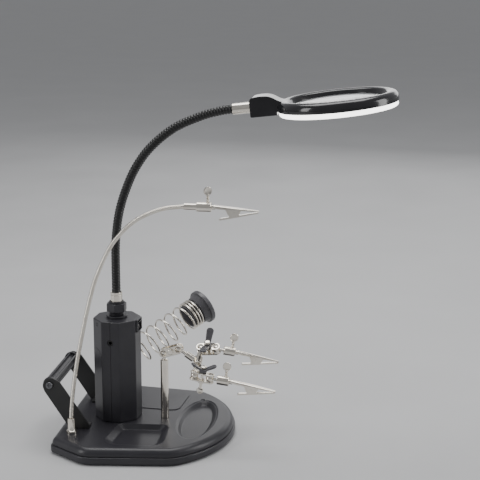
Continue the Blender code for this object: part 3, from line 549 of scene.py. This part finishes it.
def make_column():
    jack_x, jack_z = SEAM_X, 98.8
    front = -COLUMN_HALF
    switch = axes(within(COLUMN, (COLUMN_HALF - 2.4, 0, 113.3)), COLUMN.to_3x3() @ Vector((0, 1, 0)))
    half_facet = math.sqrt(0.5)
    mark = axes(within(COLUMN, (-COLUMN_HALF * half_facet, -COLUMN_HALF * half_facet, 115.0)),
                COLUMN.to_3x3() @ Vector((-half_facet, half_facet, 0)))

    def seam_holes():
        """The holes that the two shells share: the power inlet's and the gland's."""
        return [rod((jack_x, front - 1, jack_z), (jack_x, front + 5, jack_z), 3.1, COLUMN, 40),
                rod((0, 0, COLUMN_TOP - 6), (0, 0, COLUMN_TOP + 2), 6.0, COLUMN)]

    left = column_shell("column_shell_left")
    cut(left, box((SEAM_X - 0.15, -30, 0), (30, 30, 130), COLUMN), door_cutter(GAP))
    cut(left, *seam_holes(), box((-1.7, -3, 0.7), (1.7, 3, 1.6), mark), box((-1.7, -3, -1.6), (1.7, 3, -0.7), mark))
    dress(left, "column_left", edge=0.3, segments=3)

    right = column_shell("column_shell_right")
    cut(right, box((-30, -30, 0), (SEAM_X + 0.15, 30, 130), COLUMN))
    bezel = settle(soften(box((-7.2, -4.4, -6.4), (7.2, -1.5, 6.4), switch), 0.6, 4))
    join(right, bezel)
    cut(right, box((-5.8, -6, -5.3), (5.8, 7, 5.3), switch), *seam_holes())
    dress(right, "column_right", edge=0.25, segments=3)

    rocker = [(-3.6, -4.2), (-3.2, -2.2), (-2.9, 0), (-3.7, 2.0), (-5.0, 4.0)]
    rocker += [(4.95 * math.sin(a), 4.95 * math.cos(a))
               for a in (math.radians(20 + 10 * k) for k in range(15))]
    drum = loft([[(x, y, z) for y, z in rocker] for x in (-5.4, 5.4)], switch, "rocker")
    dress(drum, "power_switch", edge=0.25, segments=3)

    cover = column_shell("battery_door")
    whole = box((-40, -40, 0), (40, 40, 140), COLUMN)
    cut(whole, door_cutter(0.0))
    cut(cover, whole)
    cut(cover, *[box((-30, -1.6, 80 - 2.2 * k), (-COLUMN_HALF + 0.45, 1.6, 80.9 - 2.2 * k), COLUMN)
                 for k in range(3)])
    dress(cover, "battery_cover", edge=0.25, segments=3)
    keep("battery_pack", "dc_jack")
    pin = rod((jack_x, front + 4.5, jack_z), (jack_x, front + 9, jack_z), 0.6, COLUMN, 20, name="jack_pin")
    dress(pin, body="base", mat=FINISH["nickel"], edge=0.2)


# ---- lamp --------------------------------------------------------------------------------------------
def make_gland():
    top = COLUMN_TOP
    profile = [(10.0, top + 2.2), (10.4, top + 1.8), (10.4, top + GAP), (5.6, top + GAP), (5.6, top - 5),
               (3.0, top - 5), (3.0, 133), (6.2, 133), (6.2, 136.6), (7.1, 136.6), (7.4, 136.3),
               (7.4, 134.8)]
    z = 126.0
    while z > top + 2.6:
        profile += [(7.4, z), (6.8, z - 0.35), (6.8, z - 0.6), (7.4, z - 0.95)]
        z -= 1.3
    dress(turned(profile + [(7.0, top + 2.2)], name="gland"), "gland_body", crease=30)

    place = axes((0, 0, 130.4))
    nut = rod((0, 0, -4.2), (0, 0, 4.2), 10.3, place, 6, name="hex_nut")
    chamfer = turned([(0, -4.2), (9.3, -4.2), (10.5, -3.3), (10.5, 2.9), (9.0, 4.2), (0, 4.2)], place)
    combine(nut, [chamfer], "INTERSECT")
    cut(nut, rod((0, 0, -6), (0, 0, 6), 7.7, place))
    dress(nut, "gland_nut", edge=0.25, segments=3)


def neck(name, route, y, radius, pitch, depth, per_rib, sides, share, caps):
    """Part of a ribbed neck: share is where it starts and ends, as points of the whole fine path."""
    path = [(x, y, z) for x, z in smooth(route, pitch / per_rib)]
    count = len(path) - 1
    first, last = round(share[0] * count), round(share[1] * count)
    lead = 0.0
    for a, b in zip(path[:first], path[1:first + 1]):
        lead += (Vector(b) - Vector(a)).length

    def radius_at(travelled, turn):
        phase = (lead + travelled) / pitch - turn / (2 * math.pi)
        return radius - depth * (1 - abs(math.sin(math.pi * phase)) ** 0.8)

    return sweep(path[first:last + 1], radius_at, sides, name=name, caps=caps)


def bending(obj, nodes):
    """Give a neck part its finish, bake its place into its mesh and hide the CAD nodes it stands for."""
    obj.data.materials.append(FINISH[SLOT[nodes[0]]])
    obj.data.shade_smooth()
    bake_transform(obj)
    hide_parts(*nodes)


def make_lamp():
    make_gland()
    ferrule = turned([(4.8, 145.6), (5.2, 145.8), (5.6, 145.8), (5.9, 145.4), (5.9, 143.6), (5.7, 143.3),
                      (5.7, 142.9), (5.9, 142.6), (5.9, 133.3), (4.8, 133.3)], name="neck_collar_low")
    dress(ferrule, "lower_ferrule", crease=30)

    shape = dict(y=0, radius=LAMP_NECK_RADIUS, pitch=2.9, depth=0.8, per_rib=8, sides=36)
    low = neck("neck_cover_low", LAMP_ROUTE, share=(0, 0.475), caps=(True, False), **shape)
    bending(low, ["lamp_neck_1", "lamp_neck_2"])
    high = neck("neck_cover_high", LAMP_ROUTE, share=(0.475, 1), caps=(False, True), **shape)
    bending(high, ["lamp_neck_3"])
    make_head()


def make_head():
    head = axes(HEAD_CENTRE, (math.cos(HEAD_TILT), 0, math.sin(HEAD_TILT)))
    axis_z = 1.9
    tube_place = head @ Matrix.Translation((0, 0, axis_z * MM)) @ Matrix.Rotation(-math.pi / 2, 4, "Y")
    ferrule = turned([(4.9, 100), (5.1, 100), (5.4, 99.7), (5.4, 76), (4.9, 76)], tube_place,
                     name="neck_collar_high")
    dress(ferrule, "upper_ferrule", crease=30)

    crest = smooth([(43.7, -1.0), (45.2, 2.4), (46.5, 4.6), (48.6, 5.5), (51.2, 5.7), (54.2, 4.7),
                    (56.2, 2.5), (57.0, -0.4), (57.0, -3.5)], 0.45)
    profile = crest + [(56.85, -3.85), (56.5, -4.0), (55.2, -4.0), (55.2, 1.2), (45.4, 1.2), (45.2, -4.0),
                       (43.8, -4.0), (43.5, -3.7)]
    shell = turned(profile, head, 192, "ring_shell")
    side = [(-82.5, -5.5), (-82.3, -6.2), (-81.9, -6.6), (-81.2, -6.8), (-56.7, -6.8), (-56.7, -3.7),
            (-55.6, -3.7), (-55.6, 1.6), (-50.5, 1.6)]
    side += smooth([(-50.5, 5.4), (-53.5, 6.3), (-57, 8.2), (-61, 10.6), (-66, 12.1), (-73, 12.4), (-79, 11.7),
                    (-81.6, 10.3), (-82.5, 8.0)], 0.8)
    block = settle(soften(plate(side, -11, 11, head, "Y"), 2.2, 6, 50))
    join(shell, block)
    cut(shell, turned([(0, 90), (5.7, 90), (5.7, 70), (0, 70)], tube_place))
    dress(shell, "head_shell", crease=38, edge=0.25, segments=3)
    dress(turned(rounded([(45.8, 0.8), (45.8, -0.6), (54.6, -0.6), (54.6, 0.8)], 0.1), head, 96, "led_ring_board"),
          "led_board")
    skirt = rounded([(43.8, -4.3), (43.8, -7.6), (45.0, -8.7), (54.8, -8.7), (56.0, -7.4), (56.0, -4.3)],
                    [0.2, 0.8, 0.8, 0.8, 0.8, 0.2], 6)
    dress(turned(skirt, head, 160, "light_diffuser"), "diffuser_ring", crease=50)
    edge = 43.0
    dome = [(edge * math.sin(k * math.pi / 48), 3.4 * math.cos(k * math.pi / 48)) for k in range(25)]
    lens = turned(dome + [(r, -1.6 - z) for r, z in reversed(dome)], head, 96, "magnifier_lens")
    dress(lens, "lens", crease=60)


# ---- spring clips ------------------------------------------------------------------------------------
def arch(x, half, top, bottom, wall):
    """Half of a channel's section: up one side, over the rounded top and back down inside."""
    def dome(inner):
        h, t = half - inner, top - inner
        turn = min(h, t - bottom) * 0.8
        points = [(h, bottom)]
        for k in range(7):
            a = math.pi / 2 * k / 6
            points.append((h - turn * (1 - math.cos(a)), t - turn * (1 - math.sin(a)) * 0.7))
        return points
    outer = dome(0.0)
    inner = dome(wall)
    ring = [(x, y, z) for y, z in outer] + [(x, -y, z) for y, z in reversed(outer)]
    ring += [(x, -y, z) for y, z in inner] + [(x, y, z) for y, z in reversed(inner)]
    return ring


def thumb_screw(name, place, node):
    """A threaded stem with a coin-shaped grip."""
    profile = [(0, 2.6), (1.2, 2.6)]
    z = 2.9
    while z < 9.5:
        profile += [(1.22, z), (1.45, z + 0.2), (1.45, z + 0.3), (1.22, z + 0.5)]
        z += 0.6
    profile += [(1.45, z), (1.45, 12.4), (0, 12.4)]
    stem = turned(profile, place, 24, name)
    coin_place = place @ Matrix.Translation((0, 0, 15 * MM)) @ Matrix.Rotation(math.pi / 2, 4, "X")
    coin = turned([(0, -0.62), (2.9, -0.62), (3.3, -0.8), (3.9, -0.8), (4.2, -0.5), (4.2, 0.5),
                   (3.9, 0.8), (3.3, 0.8), (2.9, 0.62), (0, 0.62)], coin_place, 48)
    join(stem, coin)
    dress(stem, node, crease=35, edge=0.1)


def make_clip(tag, origin, along, up, ball_reach=0.0, length=11.6, screw_x=8.2, coin_turn=0.0):
    place = axes(origin, along, up)
    turn_x = place @ Matrix.Rotation(math.pi / 2, 4, "Y")
    profile = [(2.6, 2.0), (2.6, length - 0.3), (2.9, length), (4.3, length), (4.6, length - 0.3),
               (4.6, 0.35), (4.3, 0), (0, 0), (0, 2.0)]
    if not ball_reach:
        profile[5:] = [(4.6, 0.4), (4.3, 0), (3.15, 0), (3.15, -11.7), (2.9, -12), (2.6, -12)]
        profile = profile[1:]
    socket = turned(profile, turn_x, 56, f"clip_socket_{tag}")
    if ball_reach:
        join(socket, rod((-ball_reach, 0, 0), (0.6, 0, 0), 1.4, place, 24),
             ball((-ball_reach, 0, 0), BALL_RADIUS, place))
    cut(socket, rod((screw_x, 0, 1), (screw_x, 0, 6), 1.75, place, 24))
    dress(socket, f"socket_{tag}", crease=35, edge=0.12)
    facing = place.to_3x3() @ Vector((math.cos(coin_turn), math.sin(coin_turn), 0))
    thumb_screw(f"grip_screw_{tag}", axes(within(place, (screw_x, 0, 0)), facing, up), f"thumb_screw_{tag}")

    back = length + 1.6
    stations = [(back, 2.4, 2.1, -0.6), (back + 2.5, 2.9, 2.1, -1.0), (back + 8, 3.1, 1.6, -1.4),
                (30, 3.2, 0.85, -1.7), (36, 3.2, 0.3, -1.9), (44, 2.7, -0.6, -2.3), (52, 2.1, -1.45, -2.7),
                (57.3, 1.7, -2.0, -3.0), (58, 1.45, -2.15, -2.95)]
    body = loft([arch(*s, 0.55) for s in stations], place, f"clip_top_{tag}")
    first = 5.5 + length / 10
    shank = turned([(0, first), (1.9, first), (2.1, first + 0.2), (2.1, back), (2.4, back + 1),
                    (2.4, back + 1.8), (0, back + 1.8)], turn_x, 32)
    pivot = (34.5, 0, -4.9)
    lug = rounded([(30, -7.4), (39, -7.4), (42, -1), (27, -1)], [3, 3, 0, 0], 8)
    sides = [plate(lug, *sorted((s * 3.15, s * 2.55)), place, "Y") for s in (-1, 1)]
    rivets = [rod((pivot[0], s * 2.6, pivot[2]), (pivot[0], s * 3.5, pivot[2]), 1.5, place, 24)
              for s in (-1, 1)]
    pin = rod((pivot[0], -2.9, pivot[2]), (pivot[0], 2.9, pivot[2]), 0.8, place, 20)
    join(body, shank, *sides, *rivets, pin)
    teeth = [plate([(x - 0.55, -3.5), (x + 0.55, -3.5), (x, -2.35 - (x - 48) * 0.05)], -4, 4, place, "Y")
             for x in (48.2, 50, 51.8, 53.6, 55.4, 57.0)]
    cut(body, *teeth)
    dress(body, f"clip_body_{tag}", crease=32, edge=0.08)

    jaw_place = axes(within(place, pivot), along, up)
    side = [(23.3, 1.6), (14, -0.1), (5.8, -1.8)] + smooth([(4.6, -0.9), (2.7, 1.3), (0.9, 2.3), (-0.9, 2.3),
                                                            (-2.6, 1.2), (-3.6, -1.6), (-4.6, -3.8)], 0.5)
    side += smooth([(-6.5, -4.3), (-12.6, -5.4), (-13.5, -6.1), (-13.5, -6.8), (-12.9, -7.2), (-9, -6.4),
                    (-5, -5.7)], 0.6)
    side += [(1.5, -4.3), (8, -2.9), (16, -1.2), (23.3, 0.5)]
    jaw = plate(side, -1.7, 1.7, jaw_place, "Y", f"clip_lever_{tag}")
    cut(jaw, rod((0, -3, 0), (0, 3, 0), 1.15, jaw_place, 24),
        *[plate([(x - 0.5, x * 0.185 - 2.1), (x, x * 0.185 - 3.1), (x + 0.5, x * 0.185 - 2.1)], -3, 3, jaw_place,
                "Y") for x in (14.6, 16.4, 18.2, 20.0, 21.8)])
    dress(jaw, f"clip_jaw_{tag}", crease=32, edge=0.15)


def make_clip_arm():
    x, z = CLIP_ROUTE[0]
    seat = axes((x, CLIP_ARM_Y, BASE_TOP))
    base = turned([(2.4, 15), (3.2, 15), (3.6, 14.6), (3.6, 3.4), (3.9, 2.8), (4.9, 2.5), (5.2, 2.2), (5.2, GAP),
                   (2.4, GAP)], seat, 48, "clip_arm_collar")
    dress(base, "clip_ferrule", crease=30)
    shape = dict(y=CLIP_ARM_Y, radius=CLIP_NECK_RADIUS, pitch=1.5, depth=0.3, per_rib=6, sides=20)
    low = neck("clip_arm_cover_low", CLIP_ROUTE, share=(0, 0.5), caps=(True, False), **shape)
    bending(low, ["clip_neck_1", "clip_neck_2"])
    high = neck("clip_arm_cover_high", CLIP_ROUTE, share=(0.5, 1), caps=(False, True), **shape)
    bending(high, ["clip_neck_3"])
    make_clip("a", (91.0, CLIP_ARM_Y, 245.6), (1, 0, 0), (0, 0, 1), length=13.8, screw_x=10.4,
              coin_turn=math.radians(38))


# ---- helping hand ------------------------------------------------------------------------------------
def make_clamp(tag, origin, along, bolt_axis):
    place = axes(origin, along, bolt_axis)
    half = 4.4
    turns = [math.radians(-90 + 7.5 * k) for k in range(25)]
    outline = [(CLAMP_SPAN + half * math.cos(a), half * math.sin(a)) for a in turns]
    outline += [(-half * math.cos(a), -half * math.sin(a)) for a in turns]
    for side, low in (("back", -4.4), ("front", 3.0)):
        sheet = plate(outline, low, low + 1.4, place, name=f"clamp_cheek_{tag}_{side}")
        cut(sheet, *[rod((x, 0, low - 1), (x, 0, low + 3), radius, place, 40)
                     for x, radius in ((0, 3.05), (CLAMP_SPAN, 3.05), (CLAMP_SPAN / 2, 1.7))])
        dress(sheet, f"clamp_{tag}_{side}", edge=0.28, segments=3)
    return place


def make_bolt(tag, clamp, head="nut", capped=False):
    """A clamp's bolt. Its head is a nut or a coin-shaped grip; capped leaves room for a wing nut."""
    low = -12.0 if head == "coin" else -5.5
    high = 10.0 if capped else 7.4
    place = clamp @ Matrix.Translation((CLAMP_SPAN / 2 * MM, 0, 0))
    profile = [(0, low), (1.35, low)]
    z = 4.6
    while z < high - 0.7:
        profile += [(1.35, z), (1.1, z + 0.2), (1.1, z + 0.3), (1.35, z + 0.5)]
        z += 0.6
    bolt = turned(profile + [(1.1, high), (0, high)], place, 24, f"clamp_screw_{tag}")
    collar = turned([(0, -6.6), (2.4, -6.6), (2.8, -6.3), (2.8, -5.0), (2.5, -4.7), (0, -4.7)], place, 40)
    if capped:
        end = turned([(0, 9.8), (2.7, 9.8), (3.0, 10.1), (3.0, 10.8), (2.5, 11.2), (1.4, 11.45), (0, 11.5)], place, 40)
    else:
        end = settle(soften(rod((0, 0, 4.7), (0, 0, 7), 2.8, place, 6), 0.25, 3))
    join(bolt, collar, end)
    if head == "coin":
        coin_place = place @ Matrix.Translation((0, 0, -14.4 * MM)) @ Matrix.Rotation(math.pi / 2, 4, "X")
        join(bolt, turned([(0, -0.62), (2.3, -0.62), (2.6, -0.8), (3.1, -0.8), (3.4, -0.5), (3.4, 0.5),
                           (3.1, 0.8), (2.6, 0.8), (2.3, 0.62), (0, 0.62)], coin_place, 48))
    dress(bolt, f"clamp_{tag}_bolt", crease=35, edge=0.08)


def make_wing_nut(tag, clamp, turn, reach):
    turned_axes = clamp.to_3x3()
    place = axes(within(clamp, (CLAMP_SPAN / 2, 0, 6.5)),
                 turned_axes @ Vector((math.cos(turn), math.sin(turn), 0)), turned_axes @ Vector((0, 0, 1)))
    nut = turned([(0, -1.8), (3.4, -1.8), (3.7, -1.5), (3.5, 1.4), (3.0, 2.0), (0, 2.0)], place, 48,
                 f"wing_grip_{tag}")
    rise = math.radians(27)
    outline = rounded([(1.5, -2.7), (reach * 0.55, -3.3), (reach, -4.1), (reach, 4.1), (reach * 0.55, 3.3),
                       (1.5, 2.7)], [0, 8, 3.4, 3.4, 8, 0], 8)
    for side in (-1, 1):
        flat = place @ Matrix.Rotation(math.pi if side < 0 else 0, 4, "Z") @ Matrix.Rotation(-rise, 4, "Y")
        join(nut, settle(soften(plate(outline, -0.9, 0.9, flat), 0.5, 4)))
    cut(nut, rod((0, 0, -4), (0, 0, 6), 1.65, place, 32))
    dress(nut, f"wing_nut_{tag}", crease=40, edge=0.2, segments=3)


def make_helping_hand():
    top = 77.5
    profile = [(0, BASE_TOP + GAP), (4.0, BASE_TOP + GAP), (4.0, top - 0.5), (3.5, top), (1.7, top + 0.2),
               (1.7, top + 5), (0, top + 5)]
    post = turned(profile, axes((POST_X, 0, 0)), 64, "round_post")
    join(post, ball(POST_BALL, BALL_RADIUS))
    dress(post, "post", crease=30)

    rise = math.radians(17)
    place = make_clamp("post", POST_BALL, (math.cos(rise), 0, math.sin(rise)), (0, 1, 0))
    make_bolt("post", place)
    hinge = Vector(within(place, (CLAMP_SPAN, 0, 0)))
    low, high = Vector((82, -22, 70)), Vector((81, 22, 82.2))
    middle = (low + high) / 2
    bar = rod(low.lerp(high, 0.13), low.lerp(high, 0.87), 2.5, name="cross_bar_rod")
    settle(soften(bar, 0.3))
    join(bar, rod(low, high, 1.3, sides=24), ball(low, BALL_RADIUS), ball(high, BALL_RADIUS),
         settle(soften(rod(low.lerp(high, 0.37), low.lerp(high, 0.63), 4.4), 0.4, 3)),
         rod(hinge, middle, 1.7, sides=32),
         settle(soften(rod(hinge.lerp(middle, 0.38), hinge.lerp(middle, 0.78), 3.3), 0.35, 3)),
         ball(hinge, BALL_RADIUS))
    dress(bar, "t_bar", crease=35, edge=0.1)
    hands = [("b", high, (0.997, 0, 0.06), (0, -0.53, 0.85), 80, "nut", 18, (0.95, 0.24, -0.2)),
             ("c", low, (0.985, -0.06, -0.16), (0.16, 0, 0.985), 20, "coin", 14,
              (0.992, -0.04, -0.1))]
    for tag, start, along, bolt_axis, turn, head, reach, clip_along in hands:
        clamp = make_clamp(tag, start, along, bolt_axis)
        make_bolt(tag, clamp, head, capped=True)
        make_wing_nut(tag, clamp, math.radians(turn), reach)
        end = Vector(within(clamp, (CLAMP_SPAN, 0, 0)))
        make_clip(tag, end + Vector(clip_along).normalized() * CLIP_STEM, clip_along, (0, 0, 1), CLIP_STEM)


# ---- soldering-iron holder ---------------------------------------------------------------------------
def make_iron_holder():
    back = COLUMN_HALF + GAP
    x, y, z = COLUMN.inverted() @ (Vector(IRON_PIVOT) * MM) / MM
    bracket = plate(rounded([(x - 8, z - 14), (x + 8, z - 14), (x + 8, z + 12), (x - 8, z + 12)], 3),
                    back, back + 2, COLUMN, "Y", "iron_bracket_plate")
    arm = plate(rounded([(x - 3.5, back + 1), (x + 3.5, back + 1), (x + 3.5, y + 3), (x - 3.5, y + 3)],
                        [0, 0, 2.5, 2.5]), z - 4, z - 2.2, COLUMN)
    join(bracket, arm)
    dress(bracket, "iron_bracket", edge=0.3, segments=3)
    face = Matrix.Rotation(-math.pi / 2, 4, "X")
    for n, dx in enumerate((-4.8, 4.8), start=1):
        seat = COLUMN @ Matrix.Translation(Vector((x + dx, back + 2, z + 7.5)) * MM) @ face
        cross_head((0, 0, 0), 2.2, 1.5, seat, "base", f"bracket_screw_{n}", FINISH["steel"])

    place = axes(IRON_PIVOT, IRON_AXIS)
    steps, turns_open, turns_close = 52, 74 / 13, 42 / 13
    helix = []
    for k in range(round((turns_open + turns_close) * steps) + 1):
        turn = k / steps
        along = COIL_START + (BUSH_START - COIL_START) * turn / turns_open
        if turn > turns_open:
            along = BUSH_START + 3.4 * (turn - turns_open)
        angle = 2 * math.pi * turn
        helix.append((along, COIL_RADIUS * math.cos(angle), COIL_RADIUS * math.sin(angle)))
    tail = [(-1, 0, 0), (4, 0, 0), (7, 2.4, 0), (9.3, 7, 0), (11, 11.6, 0.4)]
    path = smooth(tail + [helix[3]], 0.8) + helix[4:]
    coil = sweep(path, lambda s, a: COIL_WIRE, 14, place, "iron_coil")
    dress(coil, "iron_spring")
    inner = COIL_RADIUS * math.cos(math.pi / 13) - COIL_WIRE - GAP
    barrel = helix[-1][0] + COIL_WIRE + GAP - IRON_MOUTH
    outline = rounded([(18.4, 0), (18.4, -5), (16.6, -5), (14.4, barrel), (inner, barrel), (inner, -23.5),
                       (11.2, -23.5), (11.2, 0)], [1.0, 0.7, 0.5, 0.5, 0.3, 0.4, 0.4, 1.0], 6)
    bush = turned(outline, place @ Matrix.Translation((IRON_MOUTH * MM, 0, 0)) @ Matrix.Rotation(math.pi / 2, 4, "Y"),
                  96, "iron_mouth_bush")
    dress(bush, "iron_bush", crease=35)


# ---- solder spool holder -----------------------------------------------------------------------------
def make_spool_holder():
    ax, az = SPOOL_AXLE
    foot = BASE_TOP + GAP
    outline = rounded([(-40, foot), (-20, foot), (-20, foot + 4), (ax + 9.5, az + 4), (ax, az + 8.5),
                       (ax - 8, az + 1), (ax - 5, az - 7)], [1.5, 1.5, 4, 6, 7, 7, 5], 10)
    for name, side in (("near", -1), ("far", 1)):
        low, high = sorted((side * SPOOL_ARM_Y, side * (SPOOL_ARM_Y + 2)))
        arm = plate(outline, low, high, WORLD, "Y", f"spool_side_{name}")
        tab_low, tab_high = sorted((side * 29, side * (SPOOL_ARM_Y + 1)))
        tab = plate(rounded([(-36, tab_low), (-21, tab_low), (-21, tab_high), (-36, tab_high)], 1.2),
                    foot, foot + 2)
        join(arm, tab)
        cut(arm, rod((ax, low - 1, az), (ax, high + 1, az), 2.3, sides=40))
        dress(arm, f"spool_arm_{name}", edge=0.3, segments=3)
        cross_head((-28.5, side * 33.5, foot + 2), 2.6, 1.7, WORLD, "base", f"foot_screw_{name}", BRASS)

    spindle = rod((ax, -SPOOL_ARM_Y - 2.4, az), (ax, SPOOL_ARM_Y + 2.4, az), 2.0, name="spindle")
    for side in (-1, 1):
        out = axes((ax, side * (SPOOL_ARM_Y + 2.3), az)) @ Matrix.Rotation(-side * math.pi / 2, 4, "X")
        head = turned([(0, 0), (3.6, 0), (3.6, 0.9), (3.2, 1.5), (2.0, 1.7), (0, 1.7)], out, 48)
        cut(head, box((-2.1, -0.35, 0.7), (2.1, 0.35, 3), out), box((-0.35, -2.1, 0.7), (0.35, 2.1, 3), out))
        join(spindle, head)
    dress(spindle, "spool_spindle", crease=35, edge=0.1)

    place = axes((ax, 0, az))
    roller = rod((0, -ROLLER_HALF, 0), (0, ROLLER_HALF, 0), 4.4, place, name="spool_roller_ribbed")
    for side in (-1, 1):
        join(roller, settle(soften(rod((0, side * (ROLLER_HALF - 2), 0), (0, side * (ROLLER_HALF + 0.1), 0), 7.2,
                                       place), 0.3, 3)))
    for k in range(3):
        rib = box((-6.7, -ROLLER_HALF + 1, -0.8), (6.7, ROLLER_HALF - 1, 0.8), place)
        rib.data.transform(Matrix.Rotation(k * math.pi / 3 + 0.3, 4, "Y"))
        join(roller, rib)
    cut(roller, rod((0, -ROLLER_HALF - 2, 0), (0, ROLLER_HALF + 2, 0), 2.4, place, 40))
    dress(roller, "spool_roller", crease=35, edge=0.2)


# ---- stage -------------------------------------------------------------------------------------------
def area_light(name, location, target, width, height, power, colour=(1, 1, 1)):
    lamp = bpy.data.lights.new(name, "AREA")
    lamp.shape = "RECTANGLE"
    lamp.size, lamp.size_y = width, height
    lamp.energy = power
    lamp.color = colour
    obj = bpy.data.objects.new(name, lamp)
    bpy.context.scene.collection.objects.link(obj)
    obj.location = location
    obj.rotation_euler = (Vector(target) - Vector(location)).to_track_quat("-Z", "Y").to_euler()


def make_stage():
    bm = bmesh.new()
    bmesh.ops.create_grid(bm, x_segments=8, y_segments=8, size=40000)
    floor = add("floor", bm)
    floor.data.materials.append(finish("pale_floor", (0.56, 0.56, 0.565), (0.60, 0.60, 0.605), (0.55, 0.7),
                                       broad=6, grain=500, depth=0.1))

    world = bpy.data.worlds.new("studio")
    bpy.context.scene.world = world
    world.use_nodes = True
    sky = world.node_tree.nodes["Background"]
    sky.inputs["Color"].default_value = (0.74, 0.75, 0.77, 1)
    sky.inputs["Strength"].default_value = 0.42
    target = (0.06, 0, 0.14)
    area_light("overhead", (0.0, 0.35, 1.5), target, 1.3, 0.9, 16)
    area_light("back_strip", (0.35, 1.6, 0.6), target, 1.4, 0.5, 3.5)
    area_light("left_front", (-1.3, -0.8, 0.7), target, 0.5, 1.0, 7)
    area_light("right", (1.5, 0.1, 0.6), target, 0.5, 1.0, 7)

    view = bpy.data.cameras.new("camera")
    view.lens = 97.5
    view.sensor_width = 36
    view.clip_start, view.clip_end = 0.05, 100
    camera = bpy.data.objects.new("camera", view)
    bpy.context.scene.collection.objects.link(camera)
    pitch, yaw = math.radians(13.46), math.radians(8)
    ahead = Vector((-math.sin(yaw) * math.cos(pitch), math.cos(yaw) * math.cos(pitch), -math.sin(pitch)))
    camera.location = (0.2946, -1.2139, 0.4959)
    camera.rotation_euler = ahead.to_track_quat("-Z", "Y").to_euler()
    bpy.context.scene.camera = camera


make_base()
make_column()
make_lamp()
make_clip_arm()
make_helping_hand()
make_iron_holder()
make_spool_holder()
make_stage()
